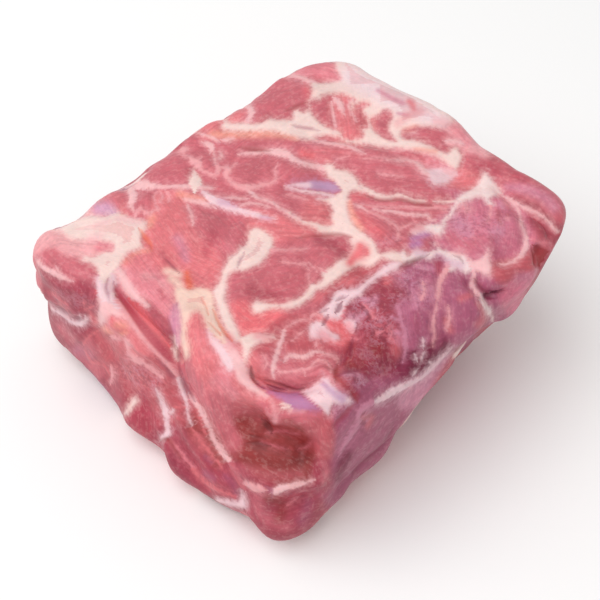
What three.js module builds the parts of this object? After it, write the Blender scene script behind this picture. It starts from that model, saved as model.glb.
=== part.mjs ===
// A boneless pork shoulder block, one solid piece of raw meat.
//
// Millimetres, +Z up. The block stands on its flat underside, the cut top face looks up,
// and the origin is under the middle of the block, on the surface it rests on.
// The block is a rounded box with eight named corners. Broad pushes bend it to its real
// outline, folds are cut and raised along named lines, and a gentle waviness covers the rest.

import * as THREE from 'three';
import { mergeVertices } from 'three/addons/utils/BufferGeometryUtils.js';

// The eight corners: left, back, right and front, under the meat and on its top.
const UNDERSIDE = {
  left: [-128, -88, 0],
  back: [-104, 100, 0],
  right: [58, 76, 0],
  front: [90, -106, 0],
};
const TOP = {
  left: [-110, -104, 90],
  back: [-112, 138, 97],
  right: [101, 124, 96],
  front: [90, -74, 99],
};

// How far each rounding reaches, as a share of half the block.
const PLAN_ROUNDING = 0.28;
const TOP_ROUNDING = { inward: 0.13, down: 0.26 };
const UNDERSIDE_ROUNDING = { inward: 0.2, down: 0.42 };

// Cells of the surface along the length, the width and the height.
const CELLS = { along: 38, across: 42, high: 16 };

// A fold is drawn no narrower than this, so that the cells can carry it.
const NARROWEST_FOLD = 4.8;

// The resting face stays flat, and the relief fades in over this height above it.
const FLAT_HEIGHT = 14;

const MEAT = { color: 0xb4525a, roughness: 0.45, metalness: 0 };

// Broad pushes that bend the block to its outline: where, how wide and which way.
const PUSHES = [
  { name: 'back edge', at: [-22, 127, 95], reach: 36, by: [0, 4, 2.5] },
  { name: 'back edge near the back corner', at: [-56, 130, 95], reach: 20, by: [0, 1, 0.5] },
  { name: 'back edge near the right corner', at: [58, 121, 95], reach: 24, by: [0, -0.5, 0] },
  { name: 'upper step of the left edge', at: [-110, -20, 88], reach: 17, by: [4, 0, -3] },
  { name: 'lower step of the left edge', at: [-109, -64, 86], reach: 16, by: [4.5, 0, -4] },
  { name: 'left edge', at: [-108, 6, 90], reach: 22, by: [3, 0, -2.5] },
  { name: 'left edge near the back corner', at: [-107, 52, 91], reach: 20, by: [2, 0, -1.5] },
  { name: 'back left corner', at: [-104, 116, 93], reach: 16, by: [1, -2, -1] },
  { name: 'foot of the left face', at: [-30, -94, 10], reach: 24, by: [0, -5.5, 0] },
  { name: 'knob at the foot', at: [-24, -99, 20], reach: 11, by: [-1, -4, 0] },
  { name: 'foot beside the notch', at: [22, -96, 8], reach: 24, by: [0, -6, 0] },
  { name: 'notch behind the front tip', at: [61, -98, 8], reach: 11, by: [-1, 7, 2] },
  { name: 'under the left lobe', at: [-100, -90, 60], reach: 22, by: [1.5, 1.5, 0] },
  { name: 'hollow of the right flank', at: [78, 36, 34], reach: 22, by: [-7.5, 0, 0] },
  { name: 'bulge of the right flank', at: [86, 64, 54], reach: 12, by: [3, 0, 0] },
  { name: 'foot of the right flank', at: [83, -34, 18], reach: 24, by: [3.5, 0, 0] },
  { name: 'right corner', at: [92, 104, 86], reach: 20, by: [-9, 0, 0] },
  { name: 'left lobe', at: [-80, -86, 84], reach: 24, by: [-1, -2, 3] },
  { name: 'sloping cut muscle', at: [88, -22, 96], reach: 26, by: [0, 0, -6] },
  { name: 'slope towards the right corner', at: [90, 22, 95], reach: 22, by: [0, 0, -3] },
  { name: 'round muscle of the right corner', at: [66, 76, 97], reach: 17, by: [0, 0, 3] },
  { name: 'middle of the top', at: [-10, 10, 98], reach: 60, by: [0, 0, 2] },
  { name: 'pale saddle left of the middle', at: [-50, -50, 94], reach: 26, by: [0, 0, -3.5] },
];

// Folds along lines on the surface. A negative rise is a groove and a positive one a ridge.
const FOLDS = [
  // Left face, from the slit down to the front tip.
  { name: 'deep slit', rise: -7.5, width: 3.4, line: [[-46, -83, 92], [-28, -88, 90], [-6, -89, 84], [3, -89, 78]] },
  { name: 'lip left of the slit', rise: 3, width: 3.6, line: [[-50, -88, 86], [-28, -93, 80], [-2, -91, 70]] },
  { name: 'pocket beside the slit', rise: -2.8, width: 3.6, line: [[-24, -78, 95], [-10, -80, 94], [3, -84, 90]] },
  { name: 'long pale ridge', rise: 3.5, width: 7, line: [[1, -72, 95], [20, -86, 86], [36, -92, 60], [50, -96, 34]] },
  { name: 'lens fold', rise: -4.5, width: 3.2, line: [[4, -88, 80], [8, -89, 72], [13, -90, 62]] },
  { name: 'upper fold line', rise: -3.5, width: 3.4, line: [[15, -90, 63], [32, -93, 47], [51, -95, 36], [58, -96, 24]] },
  { name: 'middle fold line', rise: -3, width: 3.2, line: [[9, -91, 60], [21, -92, 52], [43, -95, 39]] },
  { name: 'lower fold line', rise: -3, width: 3.4, line: [[-4, -92, 42], [14, -95, 28], [34, -98, 18]] },
  { name: 'lower fold ridge', rise: 3, width: 6, line: [[-2, -92, 52], [18, -94, 40], [42, -97, 26]] },
  { name: 'ridge at the foot', rise: 3, width: 5, line: [[-8, -97, 30], [14, -99, 16]] },
  { name: 'dark red dent', rise: -4, width: 5, line: [[-14, -95, 33], [-10, -97, 22]] },
  { name: 'groove under the left lobe', rise: -3.5, width: 6, line: [[-58, -90, 58], [-38, -92, 44], [-24, -96, 34]] },
  { name: 'hooked seam', rise: -2.2, width: 3.2, line: [[-98, -88, 49], [-78, -89, 50], [-62, -89, 58]] },
  { name: 'upper seam of the left lobe', rise: -2.2, width: 3.2, line: [[-106, -90, 72], [-88, -90, 72], [-74, -89, 76]] },
  { name: 'muscle of the left lobe', rise: 3, width: 9, line: [[-92, -88, 64], [-64, -90, 68]] },
  // Front corner, under the overhanging flap.
  { name: 'edge of the flap', rise: 3.5, width: 4, line: [[44, -69, 97], [55, -68, 97], [64, -61, 97], [76, -50, 97]] },
  { name: 'crevice under the flap', rise: -7, width: 3.6, line: [[45, -76, 94], [54, -77, 93], [60, -72, 93], [67, -67, 94], [71, -61, 95]] },
  { name: 'tendon beside the crevice', rise: 2.5, width: 6, line: [[76, -66, 93], [84, -58, 90]] },
  { name: 'front hollow', rise: -10, width: 9.5, line: [[52, -88, 72], [66, -86, 69], [80, -79, 65]] },
  { name: 'crag in the hollow', rise: 3, width: 3, line: [[62, -84, 84], [66, -86, 74]] },
  { name: 'fat shelf under the hollow', rise: 4.5, width: 4.6, line: [[50, -93, 48], [72, -90, 45], [86, -78, 52]] },
  { name: 'crease under the shelf', rise: -3, width: 3.2, line: [[76, -91, 36], [88, -80, 40]] },
  { name: 'front tip', rise: 1.5, width: 14, line: [[78, -96, 17], [84, -88, 22]] },
  { name: 'band down the front edge', rise: 3, width: 5, line: [[87, -67, 82], [88, -75, 54]] },
  // Right side, under and along the sloping cut muscle.
  { name: 'fascia edge', rise: 2.5, width: 3.6, line: [[90, -48, 88], [91, -32, 83], [91, -14, 78], [91, 12, 77]] },
  { name: 'groove above the fascia', rise: -2.5, width: 4.5, line: [[84, -44, 93], [86, -20, 89], [86, 8, 87]] },
  { name: 'crag of the cut muscle', rise: 2.5, width: 5, line: [[66, -36, 95], [72, -10, 94], [70, 14, 95]] },
  { name: 'crease beside the cut muscle', rise: -4, width: 3.2, line: [[52, -24, 97], [64, -31, 95], [72, -50, 96]] },
  { name: 'long flank muscle', rise: 2.5, width: 11, line: [[88, -54, 50], [84, -14, 50], [80, 24, 54]] },
  { name: 'flank seam', rise: -2.5, width: 3.4, line: [[88, -60, 30], [84, -24, 36], [80, 14, 46]] },
  // Right corner.
  { name: 'crease of the lip', rise: -5.5, width: 3.8, line: [[46, 104, 97], [63, 99, 97], [75, 100, 97], [86, 98, 95]] },
  { name: 'lip of the right corner', rise: 2.5, width: 6, line: [[50, 114, 96], [72, 113, 95], [86, 106, 91]] },
  { name: 'curved seam', rise: -3.5, width: 3.2, line: [[62, 96, 98], [76, 90, 98], [81, 81, 98], [83, 57, 97]] },
  { name: 'pocket under the corner', rise: -4, width: 4, line: [[89, 86, 94], [90, 78, 92]] },
  { name: 'dark hole', rise: -8, width: 3.6, line: [[78, 40, 96], [83, 38, 96], [92, 41, 92], [93, 50, 91]] },
  { name: 'knob above the hole', rise: 3.5, width: 5.5, line: [[80, 49, 97], [88, 52, 95]] },
  { name: 'rounded muscle below the hole', rise: 3, width: 12, line: [[73, 16, 95], [85, 25, 93]] },
  // Top face: fat seams lie a little lower than the muscles between them.
  { name: 'wide fat seam', rise: -2.4, width: 5, line: [[-40, 52, 99], [-12, 34, 99], [10, 14, 99], [38, 8, 99]] },
  { name: 'seam down to the flap', rise: -2.4, width: 5, line: [[38, 8, 99], [26, -14, 99], [12, -40, 99]] },
  { name: 'seam along the back', rise: -2.4, width: 4.5, line: [[-58, 62, 98], [-20, 84, 99], [36, 96, 99]] },
  { name: 'seam across the left', rise: -2.2, width: 4, line: [[-104, 12, 94], [-70, 22, 97], [-42, 50, 98]] },
  { name: 'seam round the oval muscle', rise: -2.2, width: 4, line: [[-80, 0, 96], [-46, 4, 98], [-30, 30, 99]] },
  { name: 'seam of the fan muscle', rise: -2.2, width: 4.5, line: [[-104, -30, 92], [-72, -24, 95], [-38, -12, 98]] },
  { name: 'fat between two broad muscles', rise: -2.4, width: 5, line: [[-38, -12, 98], [-26, -38, 98], [-2, -66, 96]] },
  { name: 'fan muscle', rise: 2.6, width: 15, line: [[-62, -42, 95], [-48, -20, 97]] },
  { name: 'broad dark muscle', rise: 2.6, width: 13, line: [[-6, -52, 98], [10, -22, 99]] },
  { name: 'band muscle of the back', rise: 2.2, width: 8, line: [[-34, 70, 99], [10, 74, 99], [44, 78, 99]] },
  { name: 'muscle at the back left corner', rise: 2.6, width: 12, line: [[-92, 58, 94], [-82, 88, 95]] },
  // Back faces, which carry long muscles divided by seams like those in front.
  { name: 'seam of the back left face', rise: -4, width: 5, line: [[-122, -60, 44], [-114, 10, 58], [-110, 90, 46]] },
  { name: 'short seam of the back left face', rise: -3.5, width: 4, line: [[-112, 18, 60], [-110, 40, 82]] },
  { name: 'muscle of the back left face', rise: 3, width: 14, line: [[-118, -40, 68], [-112, 4, 78]] },
  { name: 'lower muscle of the back left face', rise: 3, width: 14, line: [[-118, -10, 32], [-110, 60, 30]] },
  { name: 'seam of the back right face', rise: -4, width: 5, line: [[-90, 118, 62], [-20, 114, 46], [56, 96, 58]] },
  { name: 'short seam of the back right face', rise: -3.5, width: 4, line: [[-30, 114, 48], [-46, 106, 18]] },
  { name: 'muscle of the back right face', rise: 3, width: 14, line: [[-70, 112, 36], [-50, 110, 30]] },
  { name: 'upper muscle of the back right face', rise: 3, width: 13, line: [[-20, 124, 72], [30, 114, 74]] },
];

// Waviness: each wave has a direction, a length from crest to crest, a height and a start.
// The wave before it in the list bends its crests, so that they never run straight.
const CREST_BEND = 1.1;
const WAVES = [
  { along: [0.8, 0.5, 0.3], length: 62, height: 0.8, start: 0.4 },
  { along: [-0.4, 0.9, 0.2], length: 47, height: 0.6, start: 2.1 },
  { along: [0.2, -0.3, 0.9], length: 36, height: 0.5, start: 4.0 },
  { along: [0.7, -0.7, 0.1], length: 27, height: 0.35, start: 1.3 },
  { along: [-0.6, -0.5, 0.6], length: 19, height: 0.2, start: 5.2 },
];

const clamp = THREE.MathUtils.clamp;
const vector = (list) => new THREE.Vector3(...list);

// A pair beyond a corner's inner point is drawn from a square corner onto a round one.
function roundCorner(u, v, innerU, innerV, radiusU, radiusV) {
  const du = (u - innerU) / radiusU;
  const dv = (v - innerV) / radiusV;
  const distance = Math.hypot(du, dv);
  if (distance === 0) return [u, v];
  const square = Math.max(Math.abs(du), Math.abs(dv));
  const scale = square / distance;
  return [innerU + radiusU * du * scale, innerV + radiusV * dv * scale];
}

// A point of a cube from -1 to 1 becomes one of a box with round upright and level edges.
function roundBox(point) {
  const outward = Math.max(Math.abs(point.x), Math.abs(point.y));
  let planX = outward > 0 ? point.x / outward : 0;
  let planY = outward > 0 ? point.y / outward : 0;
  const straight = 1 - PLAN_ROUNDING;
  [planX, planY] = roundCorner(
    planX, planY,
    clamp(planX, -straight, straight), clamp(planY, -straight, straight),
    PLAN_ROUNDING, PLAN_ROUNDING,
  );
  const edge = point.z > 0 ? TOP_ROUNDING : UNDERSIDE_ROUNDING;
  const [across, height] = roundCorner(
    outward, point.z,
    Math.min(outward, 1 - edge.inward), clamp(point.z, edge.down - 1, 1 - edge.down),
    edge.inward, edge.down,
  );
  return new THREE.Vector3(planX * across, planY * across, height);
}

// The rounded box is stretched between the eight corners.
function stretchToCorners(point) {
  const share = (point.z + 1) / 2;
  const sides = { left: [-1, -1], front: [1, -1], right: [1, 1], back: [-1, 1] };
  const placed = new THREE.Vector3();
  for (const [corner, [x, y]] of Object.entries(sides)) {
    const weight = (1 + x * point.x) * (1 + y * point.y) / 4;
    const post = vector(UNDERSIDE[corner]).lerp(vector(TOP[corner]), share);
    placed.addScaledVector(post, weight);
  }
  return placed;
}

function applyPushes(point) {
  for (const push of PUSHES) {
    const distance = point.distanceTo(vector(push.at));
    const strength = Math.exp(-((distance / push.reach) ** 2));
    point.addScaledVector(vector(push.by), strength);
  }
  return point;
}

// Distance to a fold's line along the surface: the part straight through the surface
// hardly counts, so a line a little above or below the meat still marks it.
function distanceAlongSurface(point, normal, line) {
  const stretch = new THREE.Line3();
  const nearest = new THREE.Vector3();
  let least = Infinity;
  for (let i = 1; i < line.length; i += 1) {
    stretch.set(vector(line[i - 1]), vector(line[i]));
    stretch.closestPointToPoint(point, true, nearest);
    const away = nearest.sub(point);
    const through = away.dot(normal);
    least = Math.min(least, Math.sqrt(Math.max(away.lengthSq() - 0.8 * through * through, 0)));
  }
  return least;
}

function riseOfFolds(point, normal) {
  let rise = 0;
  for (const fold of FOLDS) {
    const distance = distanceAlongSurface(point, normal, fold.line);
    rise += fold.rise * Math.exp(-((distance / Math.max(fold.width, NARROWEST_FOLD)) ** 2));
  }
  return rise;
}

function riseOfWaves(point) {
  let rise = 0;
  let level = 0;
  for (const wave of WAVES) {
    const travelled = vector(wave.along).normalize().dot(point);
    level = Math.sin(2 * Math.PI * travelled / wave.length + wave.start + CREST_BEND * level);
    rise += wave.height * level;
  }
  return rise;
}

// A closed cube surface of square cells, with one shared vertex at each grid point.
function cubeSurface() {
  const cube = new THREE.BoxGeometry(2, 2, 2, CELLS.along, CELLS.across, CELLS.high);
  cube.deleteAttribute('normal');
  cube.deleteAttribute('uv');
  return mergeVertices(cube, 1e-5);
}

function meatBlock() {
  const surface = cubeSurface();
  const places = surface.attributes.position;
  const point = new THREE.Vector3();
  for (let i = 0; i < places.count; i += 1) {
    point.fromBufferAttribute(places, i);
    places.setXYZ(i, ...applyPushes(stretchToCorners(roundBox(point))));
  }
  surface.computeVertexNormals();
  const normals = surface.attributes.normal;
  const normal = new THREE.Vector3();
  for (let i = 0; i < places.count; i += 1) {
    point.fromBufferAttribute(places, i);
    normal.fromBufferAttribute(normals, i);
    const aboveFloor = THREE.MathUtils.smoothstep(point.z, 0, FLAT_HEIGHT);
    const rise = aboveFloor * (riseOfFolds(point, normal) + riseOfWaves(point));
    point.addScaledVector(normal, rise);
    places.setXYZ(i, point.x, point.y, Math.max(point.z, 0));
  }
  surface.deleteAttribute('normal');
  return surface;
}

// The middle of the block's box goes over the origin.
function centreOnOrigin(surface) {
  surface.computeBoundingBox();
  const middle = surface.boundingBox.getCenter(new THREE.Vector3());
  return surface.translate(-middle.x, -middle.y, -surface.boundingBox.min.z);
}

const meat = new THREE.Mesh(centreOnOrigin(meatBlock()), new THREE.MeshStandardMaterial(MEAT));
meat.name = 'shoulder_block';

const group = new THREE.Group();
group.add(meat);

export default group;
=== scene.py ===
"""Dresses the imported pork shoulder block: one piece of raw meat on a pale floor.

The piece is the same rounded box, pushes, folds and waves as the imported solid, on a finer
grid. Seams of fat, muscles and dark folds are lines named below. They are placed by the
pixels of the photograph through its own camera, and the surfaces it doesn't show get
muscles and seams from a seeded rule.
"""

import math

import bpy
import numpy as np
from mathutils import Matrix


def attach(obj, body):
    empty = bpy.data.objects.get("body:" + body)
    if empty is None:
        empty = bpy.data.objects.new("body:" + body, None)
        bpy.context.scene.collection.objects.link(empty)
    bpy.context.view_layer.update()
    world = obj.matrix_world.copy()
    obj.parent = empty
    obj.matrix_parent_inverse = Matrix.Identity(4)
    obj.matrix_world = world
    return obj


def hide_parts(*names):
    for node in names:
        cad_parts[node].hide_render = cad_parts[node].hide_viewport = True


bl_info = {
    "name": "Pork shoulder block",
    "version": (1, 0, 0),
    "blender": (4, 5, 0),
    "location": "View3D > Sidebar > Meat",
    "description": "Builds a raw boneless pork shoulder block with its fat seams, and a studio stage",
    "category": "Add Mesh",
}

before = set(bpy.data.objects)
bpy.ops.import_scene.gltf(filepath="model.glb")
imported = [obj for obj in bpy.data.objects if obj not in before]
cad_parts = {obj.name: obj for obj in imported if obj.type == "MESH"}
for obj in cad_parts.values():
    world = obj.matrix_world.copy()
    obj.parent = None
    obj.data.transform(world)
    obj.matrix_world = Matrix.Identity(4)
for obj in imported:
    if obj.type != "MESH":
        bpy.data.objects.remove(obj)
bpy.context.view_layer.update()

MILLIMETRE = 0.001

# The eight corners of the block in millimetres: under the meat and on its top.
UNDERSIDE = {
    "left": (-128, -88, 0),
    "back": (-104, 100, 0),
    "right": (58, 76, 0),
    "front": (90, -106, 0),
}
TOP = {
    "left": (-110, -104, 90),
    "back": (-112, 138, 97),
    "right": (101, 124, 96),
    "front": (90, -74, 99),
}

# How far each rounding reaches, as a share of half the block.
PLAN_ROUNDING = 0.28
TOP_ROUNDING = {"inward": 0.13, "down": 0.26}
UNDERSIDE_ROUNDING = {"inward": 0.2, "down": 0.42}

# The resting face stays flat, and the relief fades in over this height above it.
FLAT_HEIGHT = 14

# How many times the grid's points are evened out after the folds have moved them.
EVENING_TURNS = 6

# Broad pushes that bend the block to its outline: name, place, reach and movement.
PUSHES = (
    ("back edge", (-22, 127, 95), 36, (0, 4, 2.5)),
    ("back edge near the back corner", (-56, 130, 95), 20, (0, 1, 0.5)),
    ("back edge near the right corner", (58, 121, 95), 24, (0, -0.5, 0)),
    ("upper step of the left edge", (-110, -20, 88), 17, (4, 0, -3)),
    ("lower step of the left edge", (-109, -64, 86), 16, (4.5, 0, -4)),
    ("left edge", (-108, 6, 90), 22, (3, 0, -2.5)),
    ("left edge near the back corner", (-107, 52, 91), 20, (2, 0, -1.5)),
    ("back left corner", (-104, 116, 93), 16, (1, -2, -1)),
    ("foot of the left face", (-30, -94, 10), 24, (0, -5.5, 0)),
    ("knob at the foot", (-24, -99, 20), 11, (-1, -4, 0)),
    ("foot beside the notch", (22, -96, 8), 24, (0, -6, 0)),
    ("notch behind the front tip", (61, -98, 8), 11, (-1, 7, 2)),
    ("under the left lobe", (-100, -90, 60), 22, (1.5, 1.5, 0)),
    ("hollow of the right flank", (78, 36, 34), 22, (-7.5, 0, 0)),
    ("bulge of the right flank", (86, 64, 54), 12, (3, 0, 0)),
    ("foot of the right flank", (83, -34, 18), 24, (3.5, 0, 0)),
    ("right corner", (92, 104, 86), 20, (-9, 0, 0)),
    ("left lobe", (-80, -86, 84), 24, (-1, -2, 3)),
    ("sloping cut muscle", (88, -22, 96), 26, (0, 0, -6)),
    ("slope towards the right corner", (90, 22, 95), 22, (0, 0, -3)),
    ("round muscle of the right corner", (66, 76, 97), 17, (0, 0, 3)),
    ("middle of the top", (-10, 10, 98), 60, (0, 0, 2)),
    ("pale saddle left of the middle", (-50, -50, 94), 26, (0, 0, -3.5)),
)

# Folds along lines on the surface: name, rise, width and line. A groove has a negative rise.
FOLDS = (
    ("deep slit", -7.5, 3.4, ((-46, -83, 92), (-28, -88, 90), (-6, -89, 84), (3, -89, 78))),
    ("lip left of the slit", 3, 3.6, ((-50, -88, 86), (-28, -93, 80), (-2, -91, 70))),
    ("pocket beside the slit", -2.8, 3.6, ((-24, -78, 95), (-10, -80, 94), (3, -84, 90))),
    ("long pale ridge", 3.5, 7, ((1, -72, 95), (20, -86, 86), (36, -92, 60), (50, -96, 34))),
    ("lens fold", -4.5, 3.2, ((4, -88, 80), (8, -89, 72), (13, -90, 62))),
    ("upper fold line", -3.5, 3.4, ((15, -90, 63), (32, -93, 47), (51, -95, 36), (58, -96, 24))),
    ("middle fold line", -3, 3.2, ((9, -91, 60), (21, -92, 52), (43, -95, 39))),
    ("lower fold line", -3, 3.4, ((-4, -92, 42), (14, -95, 28), (34, -98, 18))),
    ("lower fold ridge", 3, 6, ((-2, -92, 52), (18, -94, 40), (42, -97, 26))),
    ("ridge at the foot", 3, 5, ((-8, -97, 30), (14, -99, 16))),
    ("dark red dent", -4, 5, ((-14, -95, 33), (-10, -97, 22))),
    ("groove under the left lobe", -3.5, 6, ((-58, -90, 58), (-38, -92, 44), (-24, -96, 34))),
    ("hooked seam", -2.2, 3.2, ((-98, -88, 49), (-78, -89, 50), (-62, -89, 58))),
    ("upper seam of the left lobe", -2.2, 3.2, ((-106, -90, 72), (-88, -90, 72), (-74, -89, 76))),
    ("muscle of the left lobe", 3, 9, ((-92, -88, 64), (-64, -90, 68))),
    ("edge of the flap", 3.5, 4, ((44, -69, 97), (55, -68, 97), (64, -61, 97), (76, -50, 97))),
    ("crevice under the flap", -7, 3.6,
        ((45, -76, 94), (54, -77, 93), (60, -72, 93), (67, -67, 94), (71, -61, 95))),
    ("tendon beside the crevice", 2.5, 6, ((76, -66, 93), (84, -58, 90))),
    ("front hollow", -10, 9.5, ((52, -88, 72), (66, -86, 69), (80, -79, 65))),
    ("crag in the hollow", 3, 3, ((62, -84, 84), (66, -86, 74))),
    ("fat shelf under the hollow", 4.5, 4.6, ((50, -93, 48), (72, -90, 45), (86, -78, 52))),
    ("crease under the shelf", -3, 3.2, ((76, -91, 36), (88, -80, 40))),
    ("front tip", 1.5, 14, ((78, -96, 17), (84, -88, 22))),
    ("band down the front edge", 3, 5, ((87, -67, 82), (88, -75, 54))),
    ("fascia edge", 2.5, 3.6, ((90, -48, 88), (91, -32, 83), (91, -14, 78), (91, 12, 77))),
    ("groove above the fascia", -2.5, 4.5, ((84, -44, 93), (86, -20, 89), (86, 8, 87))),
    ("crag of the cut muscle", 2.5, 5, ((66, -36, 95), (72, -10, 94), (70, 14, 95))),
    ("crease beside the cut muscle", -4, 3.2, ((52, -24, 97), (64, -31, 95), (72, -50, 96))),
    ("long flank muscle", 2.5, 11, ((88, -54, 50), (84, -14, 50), (80, 24, 54))),
    ("flank seam", -2.5, 3.4, ((88, -60, 30), (84, -24, 36), (80, 14, 46))),
    ("crease of the lip", -5.5, 3.8, ((46, 104, 97), (63, 99, 97), (75, 100, 97), (86, 98, 95))),
    ("lip of the right corner", 2.5, 6, ((50, 114, 96), (72, 113, 95), (86, 106, 91))),
    ("curved seam", -3.5, 3.2, ((62, 96, 98), (76, 90, 98), (81, 81, 98), (83, 57, 97))),
    ("pocket under the corner", -4, 4, ((89, 86, 94), (90, 78, 92))),
    ("dark hole", -8, 3.6, ((78, 40, 96), (83, 38, 96), (92, 41, 92), (93, 50, 91))),
    ("knob above the hole", 3.5, 5.5, ((80, 49, 97), (88, 52, 95))),
    ("rounded muscle below the hole", 3, 12, ((73, 16, 95), (85, 25, 93))),
    ("wide fat seam", -2.4, 5, ((-40, 52, 99), (-12, 34, 99), (10, 14, 99), (38, 8, 99))),
    ("seam down to the flap", -2.4, 5, ((38, 8, 99), (26, -14, 99), (12, -40, 99))),
    ("seam along the back", -2.4, 4.5, ((-58, 62, 98), (-20, 84, 99), (36, 96, 99))),
    ("seam across the left", -2.2, 4, ((-104, 12, 94), (-70, 22, 97), (-42, 50, 98))),
    ("seam round the oval muscle", -2.2, 4, ((-80, 0, 96), (-46, 4, 98), (-30, 30, 99))),
    ("seam of the fan muscle", -2.2, 4.5, ((-104, -30, 92), (-72, -24, 95), (-38, -12, 98))),
    ("fat between two broad muscles", -2.4, 5, ((-38, -12, 98), (-26, -38, 98), (-2, -66, 96))),
    ("fan muscle", 2.6, 15, ((-62, -42, 95), (-48, -20, 97))),
    ("broad dark muscle", 2.6, 13, ((-6, -52, 98), (10, -22, 99))),
    ("band muscle of the back", 2.2, 8, ((-34, 70, 99), (10, 74, 99), (44, 78, 99))),
    ("muscle at the back left corner", 2.6, 12, ((-92, 58, 94), (-82, 88, 95))),
    ("seam of the back left face", -4, 5, ((-122, -60, 44), (-114, 10, 58), (-110, 90, 46))),
    ("short seam of the back left face", -3.5, 4, ((-112, 18, 60), (-110, 40, 82))),
    ("muscle of the back left face", 3, 14, ((-118, -40, 68), (-112, 4, 78))),
    ("lower muscle of the back left face", 3, 14, ((-118, -10, 32), (-110, 60, 30))),
    ("seam of the back right face", -4, 5, ((-90, 118, 62), (-20, 114, 46), (56, 96, 58))),
    ("short seam of the back right face", -3.5, 4, ((-30, 114, 48), (-46, 106, 18))),
    ("muscle of the back right face", 3, 14, ((-70, 112, 36), (-50, 110, 30))),
    ("upper muscle of the back right face", 3, 13, ((-20, 124, 72), (30, 114, 74))),
)

# Waviness: direction, length from crest to crest, height and start of each wave. Each one is
# bent by the one before it.
CREST_BEND = 1.1
WAVES = (
    ((0.8, 0.5, 0.3), 62, 0.8, 0.4),
    ((-0.4, 0.9, 0.2), 47, 0.6, 2.1),
    ((0.2, -0.3, 0.9), 36, 0.5, 4.0),
    ((0.7, -0.7, 0.1), 27, 0.35, 1.3),
    ((-0.6, -0.5, 0.6), 19, 0.2, 5.2),
)

# Tones of the meat from light to dark, as they look in daylight: red, green and blue
# from 0 to 255.
# The darkest tones also serve as painted shade in folds, holes and hollows.
TONES = {
    "white fat": (253, 228, 226),
    "cool fat": (250, 226, 232),
    "cream fat": (252, 224, 218),
    "lilac fat": (250, 216, 222),
    "yellow fat": (250, 216, 202),
    "blush fat": (250, 200, 202),
    "pale pink": (246, 178, 182),
    "pale salmon": (249, 166, 152),
    "membrane": (216, 168, 196),
    "silverskin": (200, 160, 192),
    "pink": (236, 146, 156),
    "lilac pink": (216, 146, 168),
    "salmon": (231, 132, 138),
    "coral": (240, 127, 133),
    "violet": (196, 136, 174),
    "orchid": (216, 128, 148),
    "orange": (236, 118, 92),
    "rose": (211, 119, 129),
    "brown rose": (202, 107, 115),
    "light mauve": (186, 110, 134),
    "mauve": (176, 102, 125),
    "red": (190, 90, 104),
    "dull red": (177, 88, 101),
    "deep red": (166, 80, 92),
    "brown": (160, 80, 80),
    "plum": (140, 72, 90),
    "dark wound": (160, 56, 56),
    "maroon": (118, 42, 46),
}

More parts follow.
